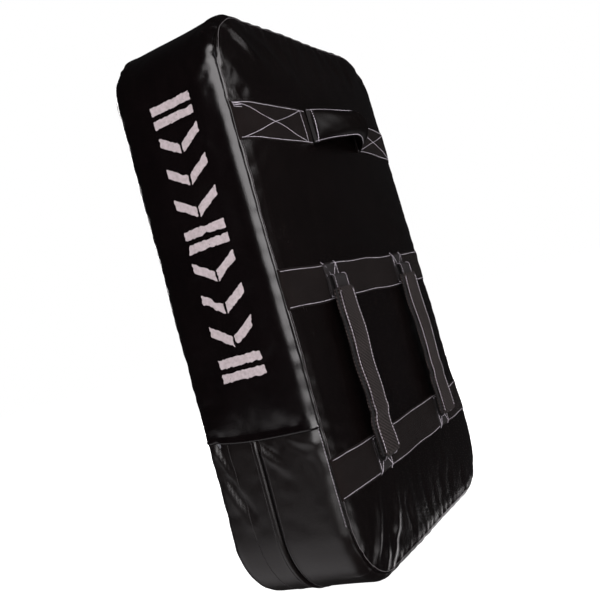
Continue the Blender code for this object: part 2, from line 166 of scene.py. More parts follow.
def gusset_base(side, along, across):
    """Points and outward directions of the gusset, along one side and across from the holder's seam."""
    foot, out = outline(side, along)
    across = np.asarray(across, float)
    near = np.clip(SECTION_ARC - across, 0, None) / EDGE
    far = np.clip(across - SECTION_ARC - SECTION_FLAT, 0, None) / EDGE
    angle = far - near
    y = np.clip(across - SECTION_ARC, 0, SECTION_FLAT) - SECTION_FLAT / 2 + EDGE * np.sin(angle)
    reach = CORNER - EDGE * (1 - np.cos(angle))
    xz = foot[:, None] + out[:, None] * reach[None, :, None]
    points = np.stack([xz[..., 0], np.broadcast_to(y, xz.shape[:2]), xz[..., 1]], -1)
    lean = np.cos(angle)
    way = np.stack([out[:, None, 0] * lean, np.broadcast_to(np.sin(angle), xz.shape[:2]),
                    out[:, None, 1] * lean], -1)
    return points, way


# ------------------------------------------------------------------ folds
def ridge(points, *path):
    """Height of a soft ridge or groove along a path of (x, y, z, width, height)."""
    height = np.zeros(len(points))
    best = np.full(len(points), 9e9)
    for start, end in zip(path, path[1:]):
        start, end = np.array(start, float), np.array(end, float)
        run = end[:3] - start[:3]
        share = np.clip((points - start[:3]) @ run / (run @ run), 0, 1)
        gap = np.linalg.norm(points - start[:3] - share[:, None] * run, axis=1)
        gap = gap / (start[3] + (end[3] - start[3]) * share)
        value = (start[4] + (end[4] - start[4]) * share) * np.exp(-gap ** 2)
        height = np.where(gap < best, value, height)
        best = np.minimum(best, gap)
    return height


def on_left(*path):
    """A path on the left gusset, given as (y, z, width, height) with width and height in millimetres."""
    return [(-WIDTH / 2, y, z, w / 1000, h / 1000) for y, z, w, h in path]


def on_back(*path):
    """A path on the holder's face, given as (x, z, width, height), in millimetres where they are sizes."""
    return [(x, float(panel_base(np.array([x]), np.array([z]), -1)[0][0, 1]), z, w / 1000, h / 1000)
            for x, z, w, h in path]


WAVES = [(random.normal(size=3), random.uniform(0, 2 * math.pi)) for _ in range(10)]


def swell(points, size, reach=0.09):
    """Slow unevenness, as a padded cover has."""
    out = np.zeros(len(points))
    for number, (way, phase) in enumerate(WAVES):
        way = way / np.linalg.norm(way) * 2 * math.pi / (reach * (0.6 + 0.12 * number))
        out += np.sin(points @ way + phase)
    return out * size / math.sqrt(len(WAVES))


def ripple(along, seed, low=0.014, high=0.045):
    """Uneven waves along a seam, from -1 to 1."""
    own = np.random.default_rng(seed)
    out = np.zeros_like(along)
    for _ in range(9):
        out += own.uniform(0.5, 1) * np.sin(2 * math.pi * along / own.uniform(low, high) + own.uniform(0, 7))
    return out / 4.0


FOLDS = [
    # left gusset below the cross seam: long diagonal folds at the front
    on_left((.052, .173, 3.4, -2.8), (.046, .156, 3.4, -2.6), (.039, .140, 2.8, -.6)),
    on_left((.057, .166, 3.0, 1.4), (.049, .146, 4.0, 1.8), (.037, .122, 5.0, .8)),
    on_left((.056, .156, 3.2, -1.8), (.047, .131, 4.5, -3.4), (.036, .107, 5.5, -2.9), (.027, .092, 6.0, -.4)),
    on_left((.054, .128, 5.0, 1.0), (.043, .104, 6.0, 1.2), (.032, .080, 7.0, .4)),
    # and the small pinches behind the zip
    on_left((-.002, .166, 2.5, -1.6), (-.011, .156, 3.0, -1.8), (-.018, .148, 3.0, -.5)),
    on_left((.001, .158, 2.6, 1.2), (-.009, .148, 3.4, 1.6), (-.020, .136, 4.5, .5)),
    on_left((-.003, .142, 3.5, -.7), (-.017, .126, 6.0, -1.2), (-.028, .118, 6.0, -.2)),
    on_left((-.028, .166, 3.0, -.9), (-.037, .158, 4.0, -1.4), (-.049, .152, 4.0, -.6)),
    on_left((-.034, .170, 2.6, .9), (-.047, .163, 3.4, 1.7), (-.060, .158, 3.2, 1.1)),
    on_left((-.043, .152, 5.0, -.8), (-.052, .130, 8.0, -1.6), (-.060, .100, 9.0, -.5)),
    on_left((-.011, .168, 1.4, 1.0), (-.015, .160, 1.6, .9)),
    on_left((-.019, .168, 1.3, -.9), (-.021, .161, 1.5, -.7)),
    on_left((-.062, .169, 1.4, -.9), (-.067, .160, 1.5, -.7)),
    on_left((-.064, .163, 1.2, .9), (-.069, .153, 1.4, .6)),
    # holder's face at the top left corner: a broad tension fold and its neighbours
    on_back((-.162, .582, 4.0, .5), (-.142, .564, 6.0, 2.6), (-.126, .548, 7.0, 2.4), (-.110, .532, 8.0, .3)),
    on_back((-.108, .574, 5.0, .3), (-.086, .554, 7.0, 1.7), (-.060, .536, 8.0, 1.5), (-.038, .508, 8.0, .2)),
    on_back((.008, .588, 3.0, .2), (.006, .560, 3.5, .9), (.006, .533, 4.0, .2)),
    on_back((.044, .582, 3.0, .2), (.052, .552, 3.5, .9), (.060, .524, 4.0, .2)),
    on_back((-.184, .508, 2.0, .6), (-.178, .500, 2.6, 1.6), (-.173, .494, 2.4, .5)),
    # and at the bottom: soft upright folds that run up from the corner
    on_back((-.170, .021, 3.5, .7), (-.151, .039, 4.5, 2.6), (-.137, .058, 4.5, 2.4), (-.125, .083, 4.5, .4)),
    on_back((-.124, .014, 5.5, .8), (-.108, .036, 6.0, 3.2), (-.093, .055, 5.5, 3.0), (-.084, .074, 5.0, .5)),
    on_back((-.186, .038, 2.0, .3), (-.178, .045, 2.6, 1.4), (-.172, .052, 2.5, .4)),
    on_back((-.146, .012, 4.0, .4), (-.136, .026, 5.0, 1.4), (-.130, .036, 5.0, .3)),
    on_back((-.058, .010, 5.0, .4), (-.052, .045, 7.0, 1.0), (-.050, .080, 7.0, .2)),
    on_back((.060, .094, 4.0, .2), (.066, .070, 6.0, .9), (.074, .040, 7.0, .8), (.080, .012, 5.0, .3)),
]


def across_seam(points, along, depth):
    """Short creases that cross a seam at an angle, as its thread draws the cloth in."""
    out = np.zeros(len(points))
    for x, y, z, run_x, run_y, run_z, width, height in along:
        start = (x, y, z, width / 1000, height / 1000)
        end = (x + run_x, y + run_y, z + run_z, width / 1000, height / 3000)
        out += ridge(points, start, end) * depth
    return out


own = np.random.default_rng(19)
CREASES = []
for _ in range(15):                # the holder's seam near the top left corner
    angle = math.radians(own.uniform(150, 186))
    x = -HALF_X + math.cos(angle) * (CORNER - SEAM_INSET)
    z = HEIGHT - CORNER + math.sin(angle) * (CORNER - SEAM_INSET) - max(0, math.degrees(angle) - 180) * 0.006
    way = own.choice((-1, 1))
    CREASES.append((x, -SEAM_Y, z, 0.006 * way, -0.010 * way * own.uniform(.4, 1), -0.008 * way + 0.004,
                    own.uniform(1.3, 2.4), own.uniform(-1.1, 1.0)))
for angle in (-150, -138, -125, -112, -60, -45, -32, 30, 45, 60, 120, 135, 150):   # and at the other corners
    angle = math.radians(angle)
    way = own.choice((-1, 1))
    x = math.copysign(HALF_X, math.cos(angle)) + math.cos(angle) * (CORNER - SEAM_INSET)
    z = HEIGHT / 2 + math.copysign(HEIGHT / 2 - CORNER, math.sin(angle)) + math.sin(angle) * (CORNER - SEAM_INSET)
    for face in (-1, 1):
        CREASES.append((x, face * SEAM_Y, z, own.uniform(-.006, .006), face * way * own.uniform(.004, .012),
                        own.uniform(-.006, .006), own.uniform(1.3, 2.4), own.uniform(-1.1, .9)))


# ------------------------------------------------------------------ mesh making
def add_mesh(name, points, faces, materials=(), smooth=True):
    mesh = bpy.data.meshes.new(name)
    mesh.from_pydata(np.asarray(points, float).tolist(), [], [list(f) for f in faces])
    mesh.validate()
    mesh.update()
    for finish in materials:
        mesh.materials.append(finish)
    if smooth:
        mesh.shade_smooth()
    made = bpy.data.objects.new(name, mesh)
    bpy.context.scene.collection.objects.link(made)
    return made


def grid_faces(rows, columns, flip=False, wrap=False):
    """Faces of a grid of points kept row by row. wrap joins the last column to the first."""
    faces = []
    for row in range(rows - 1):
        for column in range(columns if wrap else columns - 1):
            beside = (column + 1) % columns
            quad = (row * columns + column, row * columns + beside,
                    (row + 1) * columns + beside, (row + 1) * columns + column)
            faces.append(quad[::-1] if flip else quad)
    return faces


def tree_of(objects):
    """A search tree over the shown faces of some objects at the origin."""
    points, faces = [], []
    for made in objects:
        start = len(points)
        points += [v.co.copy() for v in made.data.vertices]
        faces += [[start + i for i in p.vertices] for p in made.data.polygons]
    return BVHTree.FromPolygons(points, faces)


def thicken(made, thickness):
    shell = made.modifiers.new("Thickness", "SOLIDIFY")
    shell.thickness = thickness
    shell.offset = -1.0
    return made


# ------------------------------------------------------------------ materials
def new_material(name):
    made = bpy.data.materials.new(name)
    made.use_nodes = True
    nodes, links = made.node_tree.nodes, made.node_tree.links
    return made, nodes, links, nodes["Principled BSDF"]


class Graph:
    """Short calls for building one material's nodes."""

    def __init__(self, name):
        self.material, self.nodes, self.links, self.shader = new_material(name)
        self.place = self.nodes.new("ShaderNodeTexCoord").outputs["Object"]

    def node(self, kind, inputs=None, **settings):
        made = self.nodes.new(kind)
        for key, value in settings.items():
            setattr(made, key, value)
        for key, value in (inputs or {}).items():
            if isinstance(value, bpy.types.NodeSocket):
                self.links.new(value, made.inputs[key])
            else:
                made.inputs[key].default_value = value
        return made

    def math(self, operation, *values, clamp=False):
        made = self.nodes.new("ShaderNodeMath")
        made.operation = operation
        made.use_clamp = clamp
        for number, value in enumerate(values):
            if isinstance(value, bpy.types.NodeSocket):
                self.links.new(value, made.inputs[number])
            else:
                made.inputs[number].default_value = value
        return made.outputs[0]

    def noise(self, scale, detail=3.0, roughness=0.5, vector=None, distortion=0.0):
        return self.node("ShaderNodeTexNoise", {"Vector": vector or self.place, "Scale": scale, "Detail": detail,
                                                "Roughness": roughness, "Distortion": distortion}).outputs["Fac"]

    def cells(self, scale, feature="F1", vector=None, randomness=1.0):
        return self.node("ShaderNodeTexVoronoi", {"Vector": vector or self.place, "Scale": scale,
                                                  "Randomness": randomness}, feature=feature).outputs["Distance"]

    def stretch(self, scale=(1, 1, 1), turn=(0, 0, 0)):
        return self.node("ShaderNodeMapping", {"Vector": self.place, "Scale": scale, "Rotation": turn}).outputs[0]

    def axes(self, vector=None):
        split = self.node("ShaderNodeSeparateXYZ", {"Vector": vector or self.place})
        return split.outputs["X"], split.outputs["Y"], split.outputs["Z"]

    def ramp(self, value, low, high, at=(0.0, 1.0)):
        """A value turned into a colour or grey between low and high."""
        made = self.node("ShaderNodeValToRGB", {"Fac": value})
        for element, place, colour in zip(made.color_ramp.elements, at, (low, high)):
            element.position = place
            element.color = (*colour, 1) if hasattr(colour, "__len__") else (colour, colour, colour, 1)
        return made.outputs["Color"]

    def bump(self, height, distance, strength=1.0, under=None):
        inputs = {"Height": height, "Distance": distance, "Strength": strength}
        if under is not None:
            inputs["Normal"] = under
        return self.node("ShaderNodeBump", inputs).outputs["Normal"]

    def finish(self, colour, roughness, normal=None, specular=0.5, **others):
        for key, value in {"Base Color": colour, "Roughness": roughness, "Specular IOR Level": specular,
                           **others}.items():
            if isinstance(value, bpy.types.NodeSocket):
                self.links.new(value, self.shader.inputs[key])
            else:
                self.shader.inputs[key].default_value = value
        if normal is not None:
            self.links.new(normal, self.shader.inputs["Normal"])
        return self.material


def vinyl_finish(name, colour, worn, rough, grain=0.00016, specular=0.55):
    """Coated cloth: pebbled grain over a faint woven backing, with handling marks."""
    g = Graph(name)
    marks = g.noise(9, 4, 0.6)
    scuff = g.noise(70, 6, 0.75, vector=g.stretch((1, 1, 0.25)))
    base = g.ramp(g.math("MULTIPLY", marks, scuff), colour, worn, (0.12, 0.62))
    shine = g.ramp(marks, rough[0], rough[1], (0.3, 0.7))
    shine = g.math("ADD", shine, g.math("MULTIPLY", scuff, 0.08))
    pebble = g.cells(1300, "SMOOTH_F1")
    x, y, z = g.axes()
    thread = 2 * math.pi / 0.0011
    weave = g.math("MULTIPLY", g.math("SINE", g.math("MULTIPLY", g.math("ADD", x, y), thread)),
                   g.math("SINE", g.math("MULTIPLY", z, thread)))
    fine = g.math("ADD", pebble, g.math("MULTIPLY", weave, 0.16))
    slow = g.bump(g.noise(38, 3, 0.5), 0.0012, 0.35)
    normal = g.bump(fine, grain, 0.55, slow)
    return g.finish(base, shine, normal, specular)


def woven_finish(name, colour, pale, pitch, turn, depth, rough=0.8, fuzz=0.01, clear=0.5):
    """Woven tape: two sets of threads at an angle, with painted shade on the weave (crowns lighter, hollows darker),
    random dusty patches and a soft nap. clear is the weave's contrast, the strength of that painted shade.
    """
    g = Graph(name)
    x, y, z = g.axes()
    cos, sin = math.cos(turn), math.sin(turn)
    u = g.math("ADD", g.math("MULTIPLY", x, cos), g.math("MULTIPLY", z, sin))
    v = g.math("SUBTRACT", g.math("MULTIPLY", z, cos), g.math("MULTIPLY", x, sin))
    k = 2 * math.pi / pitch
    wobble = g.math("MULTIPLY", g.noise(300, 2), 1.4)
    warp = g.math("SINE", g.math("ADD", g.math("MULTIPLY", u, k), wobble))
    weft = g.math("SINE", g.math("ADD", g.math("MULTIPLY", v, k * 0.5), wobble))
    weave = g.math("ADD", g.math("MULTIPLY", g.math("ABSOLUTE", warp), 0.6),
                   g.math("MULTIPLY", g.math("MULTIPLY", warp, weft), 0.4))
    dust = g.noise(24, 5, 0.7)
    # painted shade: the weave's raised crowns turn pale and its hollows dark, mixed with random dusty tone
    weave_shade_and_dust = g.math("ADD", g.math("MULTIPLY", weave, clear), g.math("MULTIPLY", dust, 1.1 - clear))
    base = g.ramp(weave_shade_and_dust, colour, pale, (0.25, 0.85))
    fibre = g.noise(2600, 2, 0.8)
    normal = g.bump(g.math("ADD", weave, g.math("MULTIPLY", fibre, 0.35)), depth, 0.9)
    return g.finish(base, rough, normal, 0.06, **{"Sheen Weight": fuzz, "Sheen Roughness": 0.5})


def thread_finish(name, colour, shade):
    g = Graph(name)
    twist = g.noise(2400, 2, 0.6)
    base = g.ramp(g.math("MULTIPLY", twist, g.noise(60, 3)), shade, colour, (0.1, 0.3))
    return g.finish(base, 0.62, g.bump(twist, 0.0002, 0.8), 0.25)


def foam_finish(name, colour, shade, scale):
    g = Graph(name)
    cell = g.cells(scale)
    base = g.ramp(cell, shade, colour, (0.05, 0.6))
    return g.finish(base, 0.95, g.bump(g.math("ADD", cell, g.noise(scale / 2, 3)), 0.0006, 0.8), 0.2)


def metal_finish(name, colour):
    g = Graph(name)
    wear = g.noise(180, 5, 0.7)
    base = g.ramp(wear, colour, tuple(4 * c for c in colour), (0.55, 0.8))
    return g.finish(base, g.ramp(wear, 0.25, 0.5), g.bump(g.noise(900, 3), 0.00008, 0.5), 0.5, Metallic=0.9)


def print_finish(name):
    g = Graph(name)
    cloud = g.noise(240, 5, 0.75)
    base = g.ramp(cloud, (0.195, 0.166, 0.172), (0.305, 0.263, 0.273), (0.3, 0.6))
    return g.finish(base, 0.55, g.bump(g.noise(1500, 3), 0.0001, 0.5), 0.3)


VINYL = vinyl_finish("cover_vinyl", (0.0009, 0.0004, 0.0005), (0.0022, 0.0011, 0.0012), (0.13, 0.20))
VINYL_MATT = vinyl_finish("face_vinyl", (0.0014, 0.0008, 0.0008), (0.0030, 0.0018, 0.0017), (0.16, 0.23))
VINYL_SOFT = vinyl_finish("lower_vinyl", (0.0018, 0.0010, 0.0010), (0.0036, 0.0023, 0.0021), (0.27, 0.34))
HANDLE_VINYL = vinyl_finish("handle_vinyl", (0.0014, 0.0009, 0.0009), (0.0032, 0.0022, 0.0020), (0.38, 0.46),
                            0.00010, 0.11)
BAND_WEAVE = woven_finish("band_weave", (0.0030, 0.0019, 0.0018), (0.0080, 0.0053, 0.0050), 0.0011, 0.0, 0.00022)
GRIP_WEAVE = woven_finish("grip_weave", (0.0012, 0.0008, 0.0008), (0.040, 0.031, 0.030), 0.0038,
                          math.radians(32), 0.00055, 0.72, 0.02, 0.8)
TAB_WEAVE = woven_finish("tab_weave", (0.006, 0.005, 0.0052), (0.024, 0.021, 0.022), 0.0014, 0.0, 0.0003, 0.7, 0.02)
PALE_THREAD = thread_finish("pale_thread", (0.40, 0.37, 0.41), (0.20, 0.18, 0.21))
DARK_THREAD = thread_finish("dark_thread", (0.030, 0.027, 0.028), (0.010, 0.009, 0.009))
SEAM_THREAD = thread_finish("seam_thread", (0.11, 0.10, 0.105), (0.03, 0.027, 0.028))
SOFT_FOAM = foam_finish("soft_foam", (0.62, 0.60, 0.52), (0.40, 0.38, 0.32), 900)
FIRM_FOAM = foam_finish("firm_foam", (0.10, 0.10, 0.11), (0.05, 0.05, 0.055), 1400)
SIDE_FOAM = foam_finish("grip_side_foam", (0.020, 0.019, 0.020), (0.007, 0.007, 0.007), 1100)
NYLON = woven_finish("zip_nylon", (0.008, 0.008, 0.0085), (0.020, 0.019, 0.020), 0.0012, 0.5, 0.0002, 0.6)
METAL = metal_finish("zip_metal", (0.035, 0.034, 0.036))
PRINT = print_finish("screen_print")


# ------------------------------------------------------------------ the cover
LEFT_HEM = ARC + HEM_Z - CORNER                  # where the cross seam meets the left side
RIGHT_HEM = LENGTHS[RIGHT] - LEFT_HEM
CLOSE = {LEFT: (LEFT_HEM,), RIGHT: (RIGHT_HEM,), TOP: (), BOTTOM: ()}
ALONG = [stations(LENGTHS[side], CLOSE[side]) for side in range(4)]
ZIP_ACROSS = SECTION_ARC + SECTION_FLAT / 2 + ZIP_Y
ACROSS = stations(SECTION, (ZIP_ACROSS,))


def seam_groove(distance, shoulder=0.0004):
    """The cover draws in where it is sewn: a narrow groove in a wide soft shoulder."""
    return -0.0009 * np.exp(-(distance / 0.0011) ** 2) - shoulder * np.exp(-distance / 0.008)


def shape_gusset(side, along, across):
    points, way = gusset_base(side, along, across)
    flat = points.reshape(-1, 3)
    start = sum(LENGTHS[:side])
    s = np.broadcast_to((start + along)[:, None], points.shape[:2]).ravel()
    w = np.broadcast_to(across[None], points.shape[:2]).ravel()
    edge = np.minimum(w, SECTION - w)
    push = swell(flat, 0.0004) - 0.0008 * np.sin(np.pi * w / SECTION) ** 2
    turn = np.hypot(*np.maximum(0, np.abs([flat[:, 0], flat[:, 2] - HEIGHT / 2])
                                - np.array([[HALF_X], [HEIGHT / 2 - CORNER]])))
    bent = np.clip(turn / CORNER * 1.6, 0, 1)
    near_back = w < SECTION / 2
    push += np.where(near_back, ripple(s, 3), ripple(s, 5)) * np.exp(-edge / 0.016) * (0.0001 + 0.0005 * bent)
    push += seam_groove(edge)
    if GUSSET_WRINKLES:
        rows, columns = (np.searchsorted(all_of, some - 1e-9) for all_of, some in
                         ((ALONG[side], along), (ACROSS, across)))
        push += GUSSET_WRINKLES[side][np.ix_(rows, columns)].ravel() * np.where(flat[:, 2] < HEM_Z, 0.3, 1.0)
    push += across_seam(flat, CREASES, 1.0)
    for path in FOLDS:
        push += ridge(flat, *path)
    out = flat + way.reshape(-1, 3) * push[:, None]
    if side in (LEFT, RIGHT):
        gap = along - (LEFT_HEM if side == LEFT else RIGHT_HEM)
        sag = np.exp(-(gap / 0.030) ** 2)[:, None] * np.maximum(0, 1 - (across / (0.9 * SECTION)) ** 4)
        out[:, 2] -= HEM_SAG * sag.ravel()
    return out, way.reshape(-1, 3), push


def transfinite(side):
    """A face's grid: rows of (x, z) from the bottom side to the top, matched to the gusset's stations."""
    rims = []
    for number in range(4):
        foot, out = outline(number, ALONG[number])
        rims.append(foot + out * (CORNER - SEAM_INSET))
    left, top, right, bottom = rims[LEFT], rims[TOP], rims[RIGHT][::-1], rims[BOTTOM][::-1]
    u = (ALONG[TOP] / LENGTHS[TOP])[None, :, None]
    v = (ALONG[LEFT] / LENGTHS[LEFT])[:, None, None]
    grid = ((1 - u) * left[:, None] + u * right[:, None] + (1 - v) * bottom[None] + v * top[None]
            - (1 - u) * (1 - v) * left[0] - u * (1 - v) * right[0] - (1 - u) * v * left[-1] - u * v * right[-1])
    return grid


FACE_GRID = transfinite(-1)


# ------------------------------------------------------------------ the cover as sewn cloth
CLOTH_STEP = 0.0060
CLOTH_FRAMES = 20
CLOTH_OUT, CLOTH_IN = 0.0034, 0.0011             # how far its wrinkles may stand out or sink


def thin_out(places, keep=()):
    """Indices of places about a cloth step apart, with both ends and those in keep."""
    fixed = sorted({0, len(places) - 1, *keep})
    picked = []
    for first, last in zip(fixed, fixed[1:]):
        count = max(1, round((places[last] - places[first]) / CLOTH_STEP))
        wanted = np.linspace(places[first], places[last], count + 1)[:-1]
        picked += [int(np.argmin(np.abs(places - at))) for at in wanted]
    return np.array(sorted({*picked, len(places) - 1}))


def hermite(at, places, values):
    """Smooth values between samples along the first axis."""
    slope = np.gradient(values, places, axis=0)
    spot = np.clip(np.searchsorted(places, at) - 1, 0, len(places) - 2)
    gap = places[spot + 1] - places[spot]
    t, gap = ((at - places[spot]) / gap)[:, None], gap[:, None]
    return ((2 * t ** 3 - 3 * t ** 2 + 1) * values[spot] + (t ** 3 - 2 * t ** 2 + t) * gap * slope[spot]
            + (3 * t ** 2 - 2 * t ** 3) * values[spot + 1] + (t ** 3 - t ** 2) * gap * slope[spot + 1])


def blurred(values, reach, around):
    """Values of a grid averaged over a reach of samples. around joins the ends of the first axis."""
    kernel = np.exp(-(np.arange(-2 * reach, 2 * reach + 1) / reach) ** 2)
    kernel /= kernel.sum()
    for axis, mode in ((0, "wrap" if around else "edge"), (1, "edge")):
        pad = [(0, 0), (0, 0)]
        pad[axis] = (2 * reach, 2 * reach)
        wide = np.pad(values, pad, mode=mode)
        values = np.apply_along_axis(lambda row: np.convolve(row, kernel, "valid"), axis, wide)
    return values


def gather(points):
    """Where the seams draw the cover in most: by the top left corner, along both ends and below the hem."""
    x, y, z = points[:, 0], points[:, 1], points[:, 2]
    face = 0.3 + 0.7 * np.clip((np.abs(y) - DEPTH / 2 + 0.022) / 0.012, 0, 1)
    corner = face * np.exp(-(((x + 0.165) / 0.075) ** 2 + ((z - 0.56) / 0.060) ** 2))
    foot = 0.2 * face * np.exp(-(np.maximum(z, 0) / 0.060) ** 2)
    head = 0.6 * face * np.exp(-((HEIGHT - z) / 0.045) ** 2)
    hem = 0.25 * np.exp(-((z - 0.135) / 0.035) ** 2) * (np.abs(x) > HALF_X + 0.03)
    return np.clip(np.maximum.reduce([corner, foot, head, hem]), 0, 1)


def sewn_cloth():
    """Wrinkles of the cover by cloth simulation, for the two faces and the gusset, on a coarse grid."""
    rows = thin_out(ALONG[LEFT], (int(np.argmin(np.abs(ALONG[LEFT] - LEFT_HEM))),))
    columns = thin_out(ALONG[TOP])
    across = thin_out(ACROSS, (int(np.argmin(np.abs(ACROSS - ZIP_ACROSS))),))
    sides = [rows, columns, (len(ALONG[RIGHT]) - 1 - rows)[::-1], (len(ALONG[BOTTOM]) - 1 - columns)[::-1]]
    grids, pins = [], []
    for side in (-1, 1):
        grid = FACE_GRID[np.ix_(rows, columns)]
        points, way = panel_base(grid[..., 0].ravel(), grid[..., 1].ravel(), side)
        pin = np.zeros(grid.shape[:2])
        pin[0] = pin[-1] = 1
        pin[:, 0] = pin[:, -1] = 1
        grids.append((points, way, grid.shape[:2], side > 0))
        pins.append(pin.ravel())
    stretches, hems = [], []
    for side in range(4):
        stretches.append(gusset_base(side, ALONG[side][sides[side][:-1]], ACROSS[across]))
        hem = {LEFT: LEFT_HEM, RIGHT: RIGHT_HEM}.get(side, -1)
        hems.append(np.abs(ALONG[side][sides[side][:-1]] - hem) < 1e-4)
    points = np.concatenate([p for p, _ in stretches])
    way = np.concatenate([w for _, w in stretches])
    shape = points.shape[:2]
    pin = np.zeros(shape)
    pin[:, 0] = pin[:, -1] = 1
    pin[np.concatenate(hems)] = 1
    low = points[..., 2] < HEM_Z + 1e-4
    zip_at = int(np.argmin(np.abs(ACROSS[across] - ZIP_ACROSS)))
    pin[:, zip_at] = np.maximum(pin[:, zip_at], low[:, zip_at])
    grids.append((points.reshape(-1, 3), way.reshape(-1, 3), shape, True))
    pins.append(pin.ravel())

    known, joined, index, faces, weights = {}, [], [], [], []
    for number, ((points, _, shape, flip), pin) in enumerate(zip(grids, pins)):
        own = []
        for point, held in zip(points, pin):
            key = tuple(np.round(point, 5))
            if key not in known:
                known[key] = len(joined)
                joined.append(point)
                weights.append(held)
            own.append(known[key])
        index.append(np.array(own))
        ring = number == 2
        for row in range(shape[0] if ring else shape[0] - 1):
            below = (row + 1) % shape[0]
            for column in range(shape[1] - 1):
                quad = [row * shape[1] + column, row * shape[1] + column + 1,
                        below * shape[1] + column + 1, below * shape[1] + column]
                faces.append([own[i] for i in (quad[::-1] if flip else quad)])
    joined, weights = np.array(joined), np.array(weights)
    cloth = add_mesh("cover_cloth", joined, faces)
    held = cloth.vertex_groups.new(name="held")
    calm = cloth.vertex_groups.new(name="calm")
    drawn = gather(joined)
    for number in range(len(joined)):
        if weights[number] > 0:
            held.add([number], float(weights[number]), "REPLACE")
        calm.add([number], float(1 - drawn[number]), "REPLACE")
    modifier = cloth.modifiers.new("Cloth", "CLOTH")
    settings = modifier.settings
    settings.quality = 6
    settings.mass = 0.25
    settings.tension_stiffness = settings.shear_stiffness = 18
    settings.compression_stiffness = 12
    settings.bending_stiffness = 0.8
    settings.air_damping = 2
    settings.vertex_group_mass = "held"
    settings.use_pressure = True
    settings.uniform_pressure_force = 4
    settings.vertex_group_shrink = "calm"
    settings.shrink_min, settings.shrink_max = -0.045, -0.004
    settings.effector_weights.gravity = 0
    modifier.point_cache.frame_start, modifier.point_cache.frame_end = 1, CLOTH_FRAMES
    scene = bpy.context.scene
    for number in range(1, CLOTH_FRAMES + 1):
        scene.frame_set(number)
    graph = bpy.context.evaluated_depsgraph_get()
    moved = np.empty(len(joined) * 3, np.float32)
    cloth.evaluated_get(graph).data.vertices.foreach_get("co", moved)
    moved = moved.reshape(-1, 3)
    scene.frame_set(1)
    bpy.data.objects.remove(cloth)
    fields = []
    for number, (points, way, shape, _) in enumerate(grids):
        out = ((moved[index[number]] - points) * way).sum(1).reshape(shape)
        fine = out - blurred(out, 5, number == 2)
        fine = np.where(fine > 0, CLOTH_OUT * np.tanh(fine / CLOTH_OUT), -CLOTH_IN * np.tanh(-fine / CLOTH_IN))
        fields.append(fine * (1 - pins[number].reshape(shape)))
    starts = np.cumsum([0, *LENGTHS])
    round_at = np.concatenate([starts[side] + ALONG[side][sides[side][:-1]] for side in range(4)])
    round_at = np.append(round_at, starts[4])
    gusset = np.vstack([fields[2], fields[2][:1]])
    faces = [hermite(ALONG[LEFT], ALONG[LEFT][rows], hermite(ALONG[TOP], ALONG[TOP][columns], field.T).T)
             for field in fields[:2]]
    gusset = [hermite(starts[side] + ALONG[side], round_at, hermite(ACROSS, ACROSS[across], gusset.T).T)
              for side in range(4)]
    return faces, gusset


FACE_WRINKLES, GUSSET_WRINKLES = sewn_cloth()


def shape_panel(side):
    x, z = FACE_GRID[..., 0].ravel(), FACE_GRID[..., 1].ravel()
    points, way = panel_base(x, z, side)
    inset, _, _ = inset_of(x, z)
    edge = np.maximum(inset - SEAM_INSET, 0) * 1.25
    angle = np.arctan2(z - HEIGHT / 2, x * 1.5)
    push = swell(points, 0.0006 if side < 0 else 0.0005)
    bent = np.clip(np.hypot(np.maximum(0, np.abs(x) - HALF_X + 0.02),
                            np.maximum(0, np.abs(z - HEIGHT / 2) - HEIGHT / 2 + CORNER + 0.02)) / CORNER, 0, 1)
    push += ripple(angle * 0.27, 3 if side < 0 else 5) * np.exp(-edge / 0.018) * (0.0001 + 0.0005 * bent)
    push += seam_groove(edge, 0.0)
    push += np.ravel(FACE_WRINKLES[0 if side < 0 else 1])
    push += across_seam(points, CREASES, 1.0)
    for path in FOLDS:
        push += ridge(points, *path)
    return points + way * push[:, None]


def cover_panel(name, side, finish):
    points = shape_panel(side)
    rows, columns = FACE_GRID.shape[:2]
    made = add_mesh(name, points, grid_faces(rows, columns, flip=side > 0), [finish])
    return made


def lower_edges(points, way, side, along, across):
    """Fold the lower gusset's edges in: under the hem above, and down into the zip's valley."""
    s = np.broadcast_to(along[:, None], (len(along), len(across))).ravel()
    w = np.broadcast_to(across[None], (len(along), len(across))).ravel()
    if side in (LEFT, RIGHT):
        below = np.abs((LEFT_HEM if side == LEFT else RIGHT_HEM) - s)
        points = points - way * (0.0013 * np.exp(-(below / 0.0042) ** 2))[:, None]
        lift = 0.0035 * np.exp(-(below / 0.0012) ** 2)
        points[:, 2] += lift
    beside = np.abs(w - ZIP_ACROSS)
    front = w > ZIP_ACROSS
    proud = 0.0004 + 0.0009 * np.clip((0.05 - points[:, 0]) / 0.1, 0, 1)    # low by the slider, on the right
    raised = np.where(front, proud, 0.0004) * np.exp(-((beside - 0.0030) / 0.0024) ** 2)
    fall = np.where(front, 0.0026, 0.0020) * np.exp(-(beside / np.where(front, 0.0009, 0.0016)) ** 2)
    return points + way * (raised - fall)[:, None]


